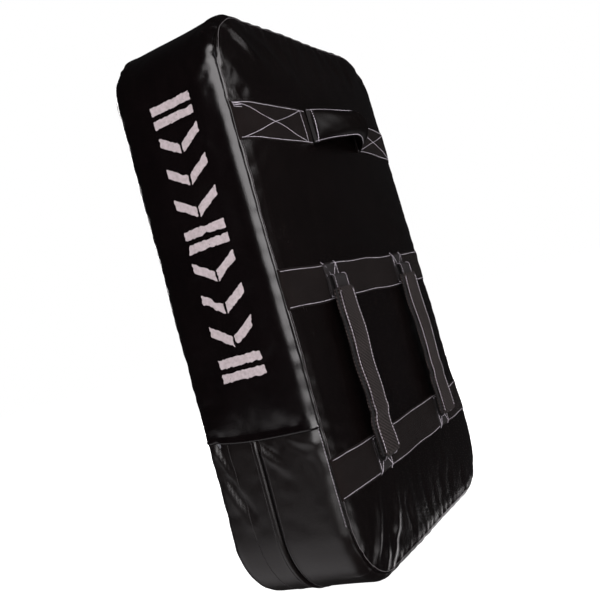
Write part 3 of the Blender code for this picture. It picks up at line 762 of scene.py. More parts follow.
def gusset_piece(name, spans, columns, finish, lower=False):
    """A piece of the gusset over some (side, first station, last station) spans and a range of columns."""
    rows = []
    for side, first, last in spans:
        along = ALONG[side][first:last]
        across = ACROSS[columns]
        points, way, _ = shape_gusset(side, along, across)
        if lower:
            points = lower_edges(points, way, side, along, across)
            gap = 0.00045 + 0.0009 * np.clip(points[:, 0] / 0.1, 0, 1)
            w = np.broadcast_to(across[None], (len(along), len(across))).ravel()
            edge = np.exp(-(np.abs(w - ZIP_ACROSS) / 0.0010) ** 2)
            points[:, 1] += np.where(columns.start != 0, gap, -gap) * edge
        else:
            s = np.broadcast_to(along[:, None], (len(along), len(across))).ravel()
            if side in (LEFT, RIGHT):
                above = np.abs((LEFT_HEM if side == LEFT else RIGHT_HEM) - s)
                lip = 0.0014 * np.exp(-((above - 0.0020) / 0.0028) ** 2) - 0.0012 * np.exp(-(above / 0.0007) ** 2)
                points = points + way * lip[:, None]
        rows.append(points.reshape(len(along), len(across), 3))
    points = np.concatenate(rows)
    return add_mesh(name, points.reshape(-1, 3), grid_faces(points.shape[0], points.shape[1], flip=True), [finish])


left_hem = int(np.argmin(np.abs(ALONG[LEFT] - LEFT_HEM)))
right_hem = int(np.argmin(np.abs(ALONG[RIGHT] - RIGHT_HEM)))
zip_column = int(np.argmin(np.abs(ACROSS - ZIP_ACROSS)))
UPPER_SPANS = ((LEFT, left_hem, len(ALONG[LEFT]) - 1), (TOP, 0, len(ALONG[TOP]) - 1), (RIGHT, 0, right_hem + 1))
LOWER_SPANS = ((RIGHT, right_hem, len(ALONG[RIGHT]) - 1), (BOTTOM, 0, len(ALONG[BOTTOM]) - 1), (LEFT, 0, left_hem + 1))

back_panel = cover_panel("holder_face_cover", -1, VINYL_MATT)
strike_panel = cover_panel("strike_face_cover", 1, VINYL)
upper_gusset = gusset_piece("upper_gusset_cover", UPPER_SPANS, slice(0, len(ACROSS)), VINYL)
lower_rear = gusset_piece("lower_gusset_rear_cover", LOWER_SPANS, slice(0, zip_column + 1), VINYL_SOFT, True)
lower_front = gusset_piece("lower_gusset_front_cover", LOWER_SPANS, slice(zip_column, len(ACROSS)), VINYL_SOFT, True)
COVER = ((back_panel, "back_panel"), (strike_panel, "strike_panel"), (upper_gusset, "upper_gusset"),
         (lower_rear, "lower_gusset_rear"), (lower_front, "lower_gusset_front"))


def facing_strip(name, side, hem, node):
    """The tape that backs the cross seam, inside the cover."""
    along = ALONG[side][np.abs(ALONG[side] - hem) < 0.011]
    points, way, _ = shape_gusset(side, along, ACROSS[6:-6])
    made = add_mesh(name, points - way * 0.0017, grid_faces(len(along), len(ACROSS) - 12, flip=True), [BAND_WEAVE])
    thicken(made, 0.0008)
    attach(made, "shield")
    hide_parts(node)
    return made


facing_strip("cross_seam_tape_left", LEFT, LEFT_HEM, "cross_seam_facing_left")
facing_strip("cross_seam_tape_right", RIGHT, RIGHT_HEM, "cross_seam_facing_right")
face_tree = tree_of([back_panel])
gusset_tree = tree_of([upper_gusset, lower_rear, lower_front])
for piece, node in COVER:
    thicken(piece, 0.0016)
    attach(piece, "shield")
    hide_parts(node)


# ------------------------------------------------------------------ bands and stitches
def face_point(x, z, tree=None, side=-1):
    """The point of a face at (x, z) and its outward direction."""
    hit, normal, _, _ = (tree or face_tree).ray_cast(Vector((x, side * 0.3, z)), Vector((0, -side, 0)))
    if hit is None:
        point, way = panel_base(np.array([x]), np.array([z]), side)
        return point[0], way[0]
    normal = np.array(normal)
    return np.array(hit), normal if normal[1] * side > 0 else -normal


def resample(points, step):
    points = np.asarray(points, float)
    lengths = np.insert(np.cumsum(np.linalg.norm(np.diff(points, axis=0), axis=1)), 0, 0)
    at = np.linspace(0, lengths[-1], max(2, int(lengths[-1] / step) + 1))
    return np.stack([np.interp(at, lengths, points[:, axis]) for axis in range(points.shape[1])], 1)


class Thread:
    """Rows of stitches gathered into one piece."""
    SIDES = 6
    PER_STITCH = 7

    def __init__(self):
        self.points, self.faces, self.count = [], [], 0

    def row(self, path, out, pitch=0.0031, radius=0.00028, gap=0.50, lift=0.0):
        """Stitches along points on a surface, with its outward directions. gap is the dip between two."""
        both = resample(np.hstack([path, out]), pitch / self.PER_STITCH)
        path, out = both[:, :3], both[:, 3:]
        count = len(path)
        run = np.gradient(path, axis=0)
        run /= np.maximum(np.linalg.norm(run, axis=1, keepdims=True), 1e-12)
        out = out - (out * run).sum(1, keepdims=True) * run
        out /= np.maximum(np.linalg.norm(out, axis=1, keepdims=True), 1e-12)
        across = np.cross(run, out)
        phase = (np.arange(count) % self.PER_STITCH) / self.PER_STITCH
        swell_up = np.sin(np.pi * phase)
        size = radius * (1 - gap + gap * swell_up)
        height = lift + radius * (0.75 - 2.4 * gap * (1 - swell_up))
        turn = 2 * math.pi * np.arange(self.SIDES) / self.SIDES
        ring = (path[:, None] + out[:, None] * (height[:, None] + size[:, None] * np.sin(turn))[..., None]
                + across[:, None] * (size[:, None] * np.cos(turn))[..., None])
        first = self.count
        self.points.append(ring.reshape(-1, 3))
        self.count += count * self.SIDES
        here = np.arange(count - 1)[:, None] * self.SIDES + np.arange(self.SIDES)[None]
        beside = np.arange(count - 1)[:, None] * self.SIDES + (np.arange(self.SIDES)[None] + 1) % self.SIDES
        quads = np.stack([here, here + self.SIDES, beside + self.SIDES, beside], -1).reshape(-1, 4)
        self.faces += (quads + first).tolist()
        ends = (range(self.SIDES), reversed(range((count - 1) * self.SIDES, count * self.SIDES)))
        self.faces += [[first + i for i in end] for end in ends]

    def make(self, name, finish):
        made = add_mesh(name, np.concatenate(self.points), self.faces, [finish])
        return made


def on_face(points, tree, side=-1, step=0.0012):
    """Points and outward directions on a face under a line of (x, z) points."""
    line = resample(points, step)
    pairs = [face_point(x, z, tree, side) for x, z in line]
    return np.array([p for p, _ in pairs]), np.array([n for _, n in pairs])


def wavy(start, end, seed, size=0.0006, count=24):
    """A hand-guided line between two (x, z) points."""
    own = np.random.default_rng(seed)
    start, end = np.array(start), np.array(end)
    share = np.linspace(0, 1, count)
    run = (end - start) / np.linalg.norm(end - start)
    off = sum(own.uniform(-1, 1) * np.sin(np.pi * share * n + own.uniform(0, 3)) for n in (1.5, 2.7, 4.1))
    off = off * size * np.sin(np.pi * share) ** 0.5
    return start + (end - start) * share[:, None] + np.array([-run[1], run[0]]) * off[:, None]


def band_height(across, thick):
    """Height of a band's surface across it: pressed down under its edge stitches."""
    inside = BAND / 2 - np.abs(across)
    return thick * (1 - 0.30 * np.exp(-((inside - 0.0022) / 0.0012) ** 2) - 0.45 * np.exp(-inside / 0.0005))


def band_waver(x, middle):
    shift, slope = LAY[middle]
    return middle + shift + slope * x + 0.0005 * np.sin(x * 31 + middle * 50) + 0.0004 * np.sin(x * 73 + 1.3)


def face_band(name, ends, middle, node, thick=BAND_THICK, rise=None):
    """A woven band on the holder's face. rise(x) lifts it off the face."""
    xs = np.linspace(ends[0], ends[1], max(8, int((ends[1] - ends[0]) / 0.0025)))
    half = BAND / 2
    profile = np.concatenate([[-half], np.linspace(-half + 0.0003, -half + 0.005, 7),
                              np.linspace(-half + 0.008, half - 0.008, 8),
                              np.linspace(half - 0.005, half - 0.0003, 7), [half]])
    rows = []
    for x in xs:
        ring = []
        for place, across in enumerate(profile):
            z = band_waver(x, middle) + across
            base, way = face_point(x, z)
            edge = place in (0, len(profile) - 1)
            height = 0.25 * thick if edge else band_height(across, thick)
            up = rise(x) if rise else 0.0
            ring.append(base + way * height + np.array([0, -up, 0]))
        for place in (len(profile) - 1, len(profile) // 2, 0):
            base, way = face_point(x, band_waver(x, middle) + profile[place])
            up = rise(x) if rise else 0.0
            ring.append(base - way * 0.0004 + np.array([0, -up, 0]))
        rows.append(ring)
    size = len(rows[0])
    faces = grid_faces(len(rows), size, flip=False, wrap=True)
    faces += [tuple(reversed(range(size))), tuple(range((len(rows) - 1) * size, len(rows) * size))]
    made = add_mesh(name, np.array(rows).reshape(-1, 3), faces, [BAND_WEAVE])
    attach(made, "shield")
    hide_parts(node)
    return made


BAND_REACH = WIDTH / 2 - SEAM_INSET - 0.0010
HANDLE_LEFT, HANDLE_RIGHT = -0.0615, 0.0555
mid_band = face_band("mid_band_tape", (-BAND_REACH, BAND_REACH), MID_BAND_Z, "mid_band")
lower_band = face_band("lower_band_tape", (-BAND_REACH, BAND_REACH), LOWER_BAND_Z, "lower_band")
upper_left = face_band("upper_band_tape_left", (-BAND_REACH, HANDLE_LEFT + 0.001), UPPER_BAND_Z,
                       "upper_band_left")
upper_right = face_band("upper_band_tape_right", (HANDLE_RIGHT - 0.001, BAND_REACH), UPPER_BAND_Z,
                        "upper_band_right")
band_tree = tree_of([back_panel, mid_band, lower_band, upper_left, upper_right])


def band_lines(thread, ends, middle, seed, edge=0.0021):
    for number, way in enumerate((1, -1)):
        xs = np.linspace(ends[0], ends[1], 60)
        own = np.random.default_rng(seed + number)
        off = sum(own.uniform(-1, 1) * np.sin(xs * k + own.uniform(0, 7)) for k in (24, 47, 90)) * 0.00035
        line = np.stack([xs, band_waver(xs, middle) + way * (BAND / 2 - edge) + off], 1)
        thread.row(*on_face(line, band_tree))


def cross_box(thread, x_near, x_far, middle, seed, half=BAND / 2 - 0.0026):
    """The two diagonals of a sewn box, with the slight curve of a turned corner."""
    near, far = band_waver(x_near, middle), band_waver(x_far, middle)
    thread.row(*on_face(wavy((x_near, near + half), (x_far, far - half), seed, 0.0009), band_tree))
    thread.row(*on_face(wavy((x_near, near - half), (x_far, far + half), seed + 1, 0.0009), band_tree))


upper = Thread()
SEAM_X = BAND_REACH - 0.002
for way, seed, foot in ((-1, 31, HANDLE_LEFT), (1, 41, HANDLE_RIGHT)):
    near, far = sorted((way * SEAM_X, foot + way * 0.001))
    band_lines(upper, (near, far), UPPER_BAND_Z, seed)
    half = BAND / 2 - 0.0022
    box_end = foot + way * (0.0110 if way < 0 else 0.0045)
    middle = band_waver(box_end, UPPER_BAND_Z)
    upper.row(*on_face(wavy((box_end, middle + half), (box_end - way * 0.001, middle - half), seed + 5, 0.0002),
                       band_tree))
    cross_box(upper, way * (SEAM_X - 0.004), box_end, UPPER_BAND_Z, seed + 7)
# the short zigzag that locks the top left end
for number in range(5):
    z = band_waver(-SEAM_X, UPPER_BAND_Z) + BAND / 2 - 0.0016 - number * 0.0012
    upper.row(*on_face([(-SEAM_X, z), (-SEAM_X + 0.009, z - 0.0007 * (-1) ** number)], band_tree), pitch=0.0030)
upper_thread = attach(upper.make("upper_band_stitching", PALE_THREAD), "shield")

middle_thread = Thread()
band_lines(middle_thread, (-SEAM_X, SEAM_X), MID_BAND_Z, 51)
low_thread = Thread()
band_lines(low_thread, (-SEAM_X, SEAM_X), LOWER_BAND_Z, 61)

# ------------------------------------------------------------------ the carry handle
HANDLE_MIDDLE = (HANDLE_LEFT + HANDLE_RIGHT) / 2
HANDLE_REACH = (HANDLE_RIGHT - HANDLE_LEFT) / 2 + 0.0010
HANDLE_RISE = 0.0245
HANDLE_LIFT = 0.0018
HANDLE_PUFF = (0.0108, 0.0046)     # outwards and towards the face
FLANGE = 0.86                      # where the padding ends, as a share of the half width


def face_at(x, z):
    return float(panel_base(np.array([x]), np.array([z]), -1)[0][0, 1])


def handle_centre(x):
    reach = abs(x - HANDLE_MIDDLE) / HANDLE_REACH
    return face_at(x, UPPER_BAND_Z) - HANDLE_LIFT - HANDLE_RISE * max(0.0, 1 - reach ** (2.3 if x < 0 else 1.9))


def handle_arch(x):
    return max(0.0, 1 - ((x - HANDLE_MIDDLE) / HANDLE_REACH) ** 2)


def handle_frame(x):
    """Centre and outward direction of the handle's cross-section."""
    slope = (handle_centre(x + 5e-4) - handle_centre(x - 5e-4)) / 1e-3
    out = np.array([slope, -1.0, 0.0])
    waver = 0.0005 * math.sin(x * 60) + 0.0004 * math.sin(x * 110 + 1)
    middle = band_waver(x, UPPER_BAND_Z) + waver + 0.0014 * handle_arch(x)
    return np.array([x, handle_centre(x), middle]), out / np.linalg.norm(out)


def handle_width(x):
    return BAND / 2 - 0.0046 * handle_arch(x)


def handle_height(x, across, outer):
    """Height of the handle's skin over its middle sheet, for across from -1 to 1."""
    fill = max(0.0, 1 - (abs(x - HANDLE_MIDDLE) / (HANDLE_REACH - 0.003)) ** 6) ** 0.5
    crease = 1 + 0.05 * math.sin(x * 170 + across * 2) + 0.04 * math.sin(x * 310 + across * 5)
    share = min(1.0, abs(across) / FLANGE)
    puff = HANDLE_PUFF[0] * (1 - share ** 2.2) ** 0.55 if outer else HANDLE_PUFF[1] * (1 - share ** 2.0)
    return 0.0008 + puff * fill * crease


def handle_mesh():
    xs = HANDLE_MIDDLE + HANDLE_REACH * np.sin(np.linspace(-math.pi / 2, math.pi / 2, 72))
    across = np.concatenate([[-1, -0.985], np.linspace(-0.95, -0.80, 5), np.linspace(-0.74, 0.74, 19),
                             np.linspace(0.80, 0.95, 5), [0.985, 1]])
    rings = []
    for x in xs:
        centre, out = handle_frame(x)
        half = handle_width(x)
        ring = [centre + np.array([0, 0, half * a]) + out * handle_height(x, a, True) * (0.4 if abs(a) == 1 else 1)
                for a in across]
        ring += [centre + np.array([0, 0, half * a]) - out * handle_height(x, a, False) * (0.4 if abs(a) == 1 else 1)
                 for a in across[::-1]]
        rings.append(ring)
    size = len(rings[0])
    faces = grid_faces(len(rings), size, wrap=True)
    faces += [tuple(reversed(range(size))), tuple(range((len(rings) - 1) * size, len(rings) * size))]
    return add_mesh("carry_handle_sleeve", np.array(rings).reshape(-1, 3), faces, [HANDLE_VINYL])


def blend_out(made, x, z):
    """Bake the piece's placement into its mesh. The face's level at x, z is worked out but not used."""
    face = face_at(x, z)
    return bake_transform(made)


handle = handle_mesh()
handle_rows = Thread()
for a in (-0.915, 0.915):
    path, out = [], []
    for x in HANDLE_MIDDLE + np.linspace(-HANDLE_REACH + 0.001, HANDLE_REACH - 0.001, 90):
        centre, way = handle_frame(x)
        path.append(centre + np.array([0, 0, handle_width(x) * a]) + way * handle_height(x, a, True))
        out.append(way)
    handle_rows.row(np.array(path), np.array(out), radius=0.00036)
foot_x = HANDLE_LEFT + 0.0032
centre, way = handle_frame(foot_x)
path = [centre + np.array([0.0012 * a, 0, handle_width(foot_x) * a]) + way * (handle_height(foot_x, a, True) + 0.0001)
        for a in np.linspace(-0.99, 0.99, 30)]
handle_rows.row(np.array(path), np.tile(way, (len(path), 1)), radius=0.00052, gap=0.45)
handle_thread = handle_rows.make("carry_handle_stitching", PALE_THREAD)
for piece in (handle, handle_thread):
    blend_out(piece, 0.0, UPPER_BAND_Z)
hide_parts("carry_handle_cover", "carry_handle_pad", "carry_handle_webbing")

# ------------------------------------------------------------------ the forearm straps
LIFT = 0.0004
TAB = 0.0010
TAB_FOLD = 0.0009
SEWN_LENGTH = 0.032
FOLD_LENGTH = {"top": 0.016, "bottom": 0.0165}
GRIP_LOW, GRIP_HIGH = 0.1125, 0.2900
GRIP_HALF = 0.0190
GRIP_STAND_OFF = 0.0080
TAB_HALF = 0.0163
GRIP_LAYERS = {"backing": (0.0, 0.0013), "pad": (0.0011, 0.0044), "facing": (0.0042, 0.0056)}
ROW_IN = 0.0030                    # the grip's stitch rows, in from its edges


def half_turn(y, z, radius, way):
    return [(y - radius + radius * math.cos(math.pi * step / 10), z + way * radius * math.sin(math.pi * step / 10))
            for step in range(11)]


def tab_path(x, band_z, way, fold_length, grip_end):
    """A folded tab from the side: sewn down, back over itself, then round to meet the grip."""
    start = band_z + way * (BAND / 2 - 0.002)
    tight = start - way * SEWN_LENGTH
    turn = tight + way * fold_length
    above = LIFT + BAND_THICK + LIFT + TAB / 2
    sewn = face_at(x, tight) - above
    folded = sewn - 2 * TAB_FOLD
    grip = face_at(x, MID_BAND_Z) - GRIP_STAND_OFF - 0.0027
    outer = (folded - grip) / 2
    return ([(face_at(x, start) - above, start)] + half_turn(sewn, tight, TAB_FOLD, -way)
            + half_turn(folded, turn, outer, way) + [(grip, grip_end - way * 0.006)])


def ribbon_frame(path, step=0.0009):
    """Points of a smooth side profile and the direction out of its outer side."""
    line = resample(path, step)
    run = np.gradient(line, axis=0)
    run /= np.linalg.norm(run, axis=1, keepdims=True)
    return line, np.stack([-run[:, 1], run[:, 0]], 1)


def ribbon(name, x, path, thick, seed):
    line, out = ribbon_frame(path)
    own = np.random.default_rng(seed)
    half = TAB_HALF
    across = np.concatenate([[-1, -0.985], np.linspace(-0.93, 0.93, 9), [0.985, 1]]) * half
    edge = np.array([0.5] + [1] * 11 + [0.5])
    rings = []
    phases = own.uniform(0, 6, 3)
    for number, ((y, z), (ny, nz)) in enumerate(zip(line, out)):
        bow = 0.00018 * np.sin(across / half * 2 + number * 0.11 + phases[0])
        slide = 0.0004 * math.sin(number * 0.07 + phases[1])
        top = [(x + slide + a, y + ny * (thick / 2 * e + b), z + nz * (thick / 2 * e + b))
               for a, e, b in zip(across, edge, bow)]
        low = [(x + slide + a, y - ny * (thick / 2 * e - b), z - nz * (thick / 2 * e - b))
               for a, e, b in zip(across[::-1], edge[::-1], bow[::-1])]
        rings.append(top + low)
    size = len(rings[0])
    faces = grid_faces(len(rings), size, wrap=True)
    faces += [tuple(reversed(range(size))), tuple(range((len(rings) - 1) * size, len(rings) * size))]
    return add_mesh(name, np.array(rings).reshape(-1, 3), faces, [TAB_WEAVE])


class Grip:
    """The shape that a grip's layers share: gentle waves along it, and one kink."""

    def __init__(self, x, seed, kink_z, kink):
        own = np.random.default_rng(seed)
        self.x = x
        self.back = face_at(x, MID_BAND_Z) - GRIP_STAND_OFF
        self.waves = [(own.uniform(-1, 1), own.uniform(30, 95), own.uniform(0, 6)) for _ in range(4)]
        self.kink_z, self.kink = kink_z, kink

    def shift(self, z):
        calm = min(1.0, (z - GRIP_LOW) / 0.02 + 0.2, (GRIP_HIGH - z) / 0.02 + 0.2)
        side = sum(a * math.sin(k * z + p) for a, k, p in self.waves) * 0.00045
        out = sum(a * math.sin(k * 1.3 * z + p * 2) for a, k, p in self.waves) * 0.00050
        out += self.kink * math.exp(-((z - self.kink_z) / 0.006) ** 2)
        side += 0.5 * self.kink * math.tanh((z - self.kink_z) / 0.008)
        return side * calm, out * calm

    def half(self, z, inset=0.0, round_by=0.0040):
        near = min(z - GRIP_LOW, GRIP_HIGH - z)
        cut = 0.0
        if near < round_by:
            cut = round_by - math.sqrt(max(0.0, round_by ** 2 - (round_by - near) ** 2))
        return GRIP_HALF - inset - cut * (1.0 if z < 0.2 else 0.25)

    def point(self, across, z, rise):
        """A point at a share across, at z, at a height over the back of the grip."""
        side, out = self.shift(z)
        half = self.half(z)
        twist = 0.0005 * math.sin(z * 44 + self.x * 30) * across
        return np.array([self.x + side + across * half, self.back - out - rise - twist, z])


def grip_layer(name, grip, low, high, finish, inset=0.0, sides=None, pillow=0.0):
    """One layer of a grip as a closed slab. sides are extra insets down its edge; pillow swells its front."""
    zs = np.concatenate([GRIP_LOW + inset + np.array([0, .0004, .0012, .0022, .0034]),
                         np.linspace(GRIP_LOW + 0.005, GRIP_HIGH - 0.005, 100),
                         GRIP_HIGH - inset - np.array([.0034, .0022, .0012, .0004, 0])])
    across = np.concatenate([[-0.985], np.linspace(-0.95, -0.70, 7), np.linspace(-0.62, 0.62, 11),
                             np.linspace(0.70, 0.95, 7), [0.985]])
    sides = sides or (0.0005, 0.0, 0.0005)
    heights = np.linspace(low, high, len(sides))
    rings = []
    for z in zs:
        half = grip.half(z)
        end = min(1.0, (z - GRIP_LOW + 0.0004) / 0.004, (GRIP_HIGH - z + 0.0004) / 0.004)
        limit = (half - inset) / half
        ring = []
        for a in across:
            edge = (1 - abs(a)) * half
            row = abs(edge - ROW_IN)
            swell_by = pillow * (1 - math.exp(-(row / 0.0018) ** 2)) * end * (1.0 if edge > ROW_IN else 0.35)
            ring.append(grip.point(a * limit, z, high + swell_by - 0.0003 * (abs(a) > 0.97)))
        ring += [grip.point((half - inset - cut) / half, z, h) for h, cut in zip(heights[::-1], sides)]
        ring += [grip.point(a * limit, z, low) for a in across[::-1]]
        ring += [grip.point(-(half - inset - cut) / half, z, h) for h, cut in zip(heights, sides)]
        rings.append(ring)
    size = len(rings[0])
    faces = grid_faces(len(rings), size, flip=True, wrap=True)
    faces += [tuple(range(size)), tuple(reversed(range((len(rings) - 1) * size, len(rings) * size)))]
    return add_mesh(name, np.array(rings).reshape(-1, 3), faces, [finish])


def anchor_rows(thread, x, band_z, way, seed):
    """The box with crossed lines that sews a tab to its band, with the tails of its threads."""
    own = np.random.default_rng(seed)
    half = TAB_HALF - 0.0024
    far = band_z + way * (BAND / 2 - 0.0012)
    near = band_z - way * (BAND / 2 - 0.0040)
    corners = {(-1, 1): (x - half, far), (1, 1): (x + half, far), (-1, 0): (x - half, near), (1, 0): (x + half, near)}
    lines = [((-1, 1), (-1, 0)), ((1, 1), (1, 0)), ((-1, 1), (1, 0)), ((1, 1), (-1, 0)), ((-1, 0), (1, 0))]
    for number, (start, end) in enumerate(lines):
        a, b = np.array(corners[start]) + own.uniform(-.0004, .0004, 2), np.array(corners[end])
        path, out = on_face(wavy(a, b, seed + number, 0.0003), band_tree)
        over = (np.abs(path[:, 0] - x) < TAB_HALF) & ((band_z + way * (BAND / 2 - 0.002) - path[:, 2]) * way > 0)
        thread.row(path + out * (0.0012 * over)[:, None], out, radius=0.00036)
    for side in (-1, 1):
        tip = np.array([x + side * half, far])
        tail = tip + np.array([own.uniform(-.0008, .0008), way * own.uniform(.0018, .0030)])
        thread.row(*on_face(wavy(tip, tail, seed, 0.0002, 8), band_tree), gap=0.0, radius=0.0003)


for label, x, seed, kink_z, kink in (("left", -STRAP_X, 71, 0.158, 0.0016), ("right", STRAP_X, 83, 0.166, 0.0010)):
    body = label + "_strap"
    grip = Grip(x, seed, kink_z, kink)
    low, high = GRIP_LAYERS["backing"]
    backing = grip_layer(body + "_grip_backing", grip, low, high, GRIP_WEAVE)
    low, high = GRIP_LAYERS["pad"]
    pad = grip_layer(body + "_grip_pad", grip, low, high, SIDE_FOAM, 0.0010,
                     (0.0010, 0.0002, 0.0001, 0.0012, 0.0002, 0.0001, 0.0010))
    low, high = GRIP_LAYERS["facing"]
    facing = grip_layer(body + "_grip_facing", grip, low, high, GRIP_WEAVE, 0.0, None, 0.0009)
    for piece, node, slot in ((backing, "_backing", "grip_webbing"), (pad, "_pad", "firm_foam"),
                              (facing, "_facing", "grip_webbing")):
        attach(piece, body)
        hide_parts(body + node)
    rows = Thread()
    top = GRIP_LAYERS["facing"][1]
    out = np.array([0, -1.0, 0])
    for side in (-1, 1):
        zs = np.linspace(GRIP_LOW + 0.0035, GRIP_HIGH - 0.0045, 150)
        line = [grip.point(side * (1 - ROW_IN / grip.half(z)), z, top) for z in zs]
        rows.row(np.array(line), np.tile(out, (len(line), 1)), gap=0.6, radius=0.00036, pitch=0.0036)
    line = [grip.point(a, GRIP_HIGH - 0.0045, top + 0.0002) for a in np.linspace(-0.84, 0.84, 40)]
    rows.row(np.array(line), np.tile(out, (len(line), 1)), gap=0.5, radius=0.00034, pitch=0.0034)
    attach(rows.make(body + "_grip_stitching", PALE_THREAD), body)

    tab_rows = Thread()
    for end, band_z, way, grip_end in (("top", MID_BAND_Z, 1, GRIP_HIGH), ("bottom", LOWER_BAND_Z, -1, GRIP_LOW)):
        band_z = band_waver(x, band_z)
        path = tab_path(x, band_z, way, FOLD_LENGTH[end], grip_end)
        tab = ribbon(f"{body}_folded_tab_{end}", x, path, 0.0012, seed + way)
        line, aside = ribbon_frame(path)
        aside = -aside * way
        after = np.insert(np.cumsum(np.linalg.norm(np.diff(line, axis=0), axis=1)), 0, 0) > SEWN_LENGTH + 0.0035
        for side in (-1, 1):
            spots = np.stack([np.full(after.sum(), x + side * (TAB_HALF - 0.0024)), line[after, 0], line[after, 1]], 1)
            outs = np.stack([np.zeros(after.sum()), aside[after, 0], aside[after, 1]], 1)
            tab_rows.row((spots + outs * 0.0006)[:-5], outs[:-5], gap=0.45)
        blend_out(tab, x, band_z)
        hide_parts(f"{body}_tab_{end}")
        anchor_rows(middle_thread if end == "top" else low_thread, x, band_z, way, seed + 11 * way)
    blend_out(tab_rows.make(body + "_tab_stitching", PALE_THREAD), x, MID_BAND_Z)

# ------------------------------------------------------------------ seam and zip stitches
for side, name in ((-1, "holder_seam_stitching"), (1, "strike_seam_stitching")):
    rows = Thread()
    base_tree = tree_of([back_panel if side < 0 else strike_panel])
    for number in range(4):
        foot, out = outline(number, np.linspace(0, LENGTHS[number], 260))
        line = foot + out * (CORNER - SEAM_INSET - 0.0024)
        rows.row(*on_face(line, base_tree, side, 0.0015), pitch=0.0031, radius=0.00026, gap=0.4)
    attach(rows.make(name, SEAM_THREAD), "shield")


def gusset_row(thread, across_at, **settings):
    """Stitches round the lower gusset. across_at gives the distance across for a share of the way round."""
    total = sum(ALONG[side][last - 1] - ALONG[side][first] for side, first, last in LOWER_SPANS)
    path, ways, done = [], [], 0.0
    for side, first, last in LOWER_SPANS:
        start, end = ALONG[side][first], ALONG[side][last - 1]
        for along in np.linspace(start, end, int((end - start) / 0.0016)):
            share = (done + along - start) / total
            base, way = gusset_base(side, np.array([along]), np.array([across_at(share)]))
            base, way = base[0, 0], way[0, 0]
            hit, normal, _, _ = gusset_tree.ray_cast(Vector(base + way * 0.03), Vector(-way))
            if hit is not None and not path or hit is not None and (Vector(path[-1]) - hit).length > 5e-4:
                path.append(np.array(hit))
                ways.append(way)
        done += end - start
    thread.row(np.array(path[2:-2]), np.array(ways[2:-2]), **settings)


zip_rows = Thread()
gusset_row(zip_rows, lambda share: ZIP_ACROSS - 0.0040, pitch=0.0030, radius=0.00026, gap=0.4)
gusset_row(zip_rows, lambda share: ZIP_ACROSS + 0.0062, pitch=0.0030, radius=0.00026, gap=0.4)
gusset_row(zip_rows, lambda share: ZIP_ACROSS + 0.0230 + 0.0120 * abs(2 * share - 1) ** 2, pitch=0.0030,
           radius=0.00024, gap=0.4)
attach(zip_rows.make("zip_stitching", DARK_THREAD), "shield")

seam_ends = Thread()
path, ways = [], []
for along in np.linspace(LEFT_HEM - 0.100, LEFT_HEM - 0.003, 90):
    base, way = gusset_base(LEFT, np.array([along]), np.array([0.0022]))
    hit, _, _, _ = gusset_tree.ray_cast(Vector(base[0, 0] + way[0, 0] * 0.03), Vector(-way[0, 0]))
    path.append(np.array(hit))
    ways.append(way[0, 0])
seam_ends.row(np.array(path), np.array(ways), pitch=0.0033, radius=0.00024, gap=0.8)
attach(seam_ends.make("strained_seam_stitching", PALE_THREAD), "shield")

# ------------------------------------------------------------------ the side print
PRINT_LOW, PRINT_HIGH = 0.223, 0.522
PRINT_Y = -0.004
PRINT_HALF = 0.0255
PRINT_CELL = 0.00075
MARKS = 9


def mark_height(y, z):
    """Above 0 inside the printed marks: stencilled chevrons between pairs of bars, worn thin in places."""
    pitch = (PRINT_HIGH - PRINT_LOW) / MARKS
    number = min(MARKS - 1, max(0, int((z - PRINT_LOW) / pitch)))
    across = abs(y - PRINT_Y)
    up = z - PRINT_LOW - (number + 0.5) * pitch
    if number % 4 == 0:
        inside = min(0.0045 - abs(abs(up) - 0.0072), 0.0115)
    else:
        inside = 0.0052 - abs(up + 0.0078 - across * 0.62)
    inside = min(inside, PRINT_HALF - across, across - 0.0013 if number % 4 else 1.0,
                 pitch / 2 - 0.0016 - abs(up))
    at = Vector((y * 210, z * 210, 3.0))
    worn = noise.fractal(at * 1.5, 0.7, 2.1, 4) * 0.0009 + min(0.0, noise.noise(at * 0.35) + 0.25) * 0.0040
    speck = noise.noise(at * 3.1) - 0.62
    return min(inside + worn, -speck * 0.01)


def print_mesh():
    ys = np.arange(PRINT_Y - PRINT_HALF - 0.002, PRINT_Y + PRINT_HALF + 0.002, PRINT_CELL)
    zs = np.arange(PRINT_LOW - 0.002, PRINT_HIGH + 0.002, PRINT_CELL)
    height = np.array([[mark_height(y, z) for z in zs] for y in ys])
    points, faces, known = [], [], {}

    def place(key, y, z):
        if key not in known:
            hit, normal, _, _ = gusset_tree.ray_cast(Vector((-0.4, y, z)), Vector((1, 0, 0)))
            known[key] = len(points)
            points.append((hit.x - 0.00018, y, z))
        return known[key]

    for i in range(len(ys) - 1):
        for j in range(len(zs) - 1):
            ring = ((i, j), (i + 1, j), (i + 1, j + 1), (i, j + 1))
            if all(height[c] <= 0 for c in ring):
                continue
            face = []
            for here, there in zip(ring, ring[1:] + ring[:1]):
                a, b = height[here], height[there]
                if a > 0:
                    face.append(place(here, ys[here[0]], zs[here[1]]))
                if (a > 0) != (b > 0):
                    share = a / (a - b)
                    face.append(place(tuple(sorted((here, there))),
                                      ys[here[0]] + (ys[there[0]] - ys[here[0]]) * share,
                                      zs[here[1]] + (zs[there[1]] - zs[here[1]]) * share))
            if len(face) > 2:
                faces.append(face[::-1])
    return add_mesh("side_print", points, faces, [PRINT])


side_print = print_mesh()
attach(side_print, "shield")

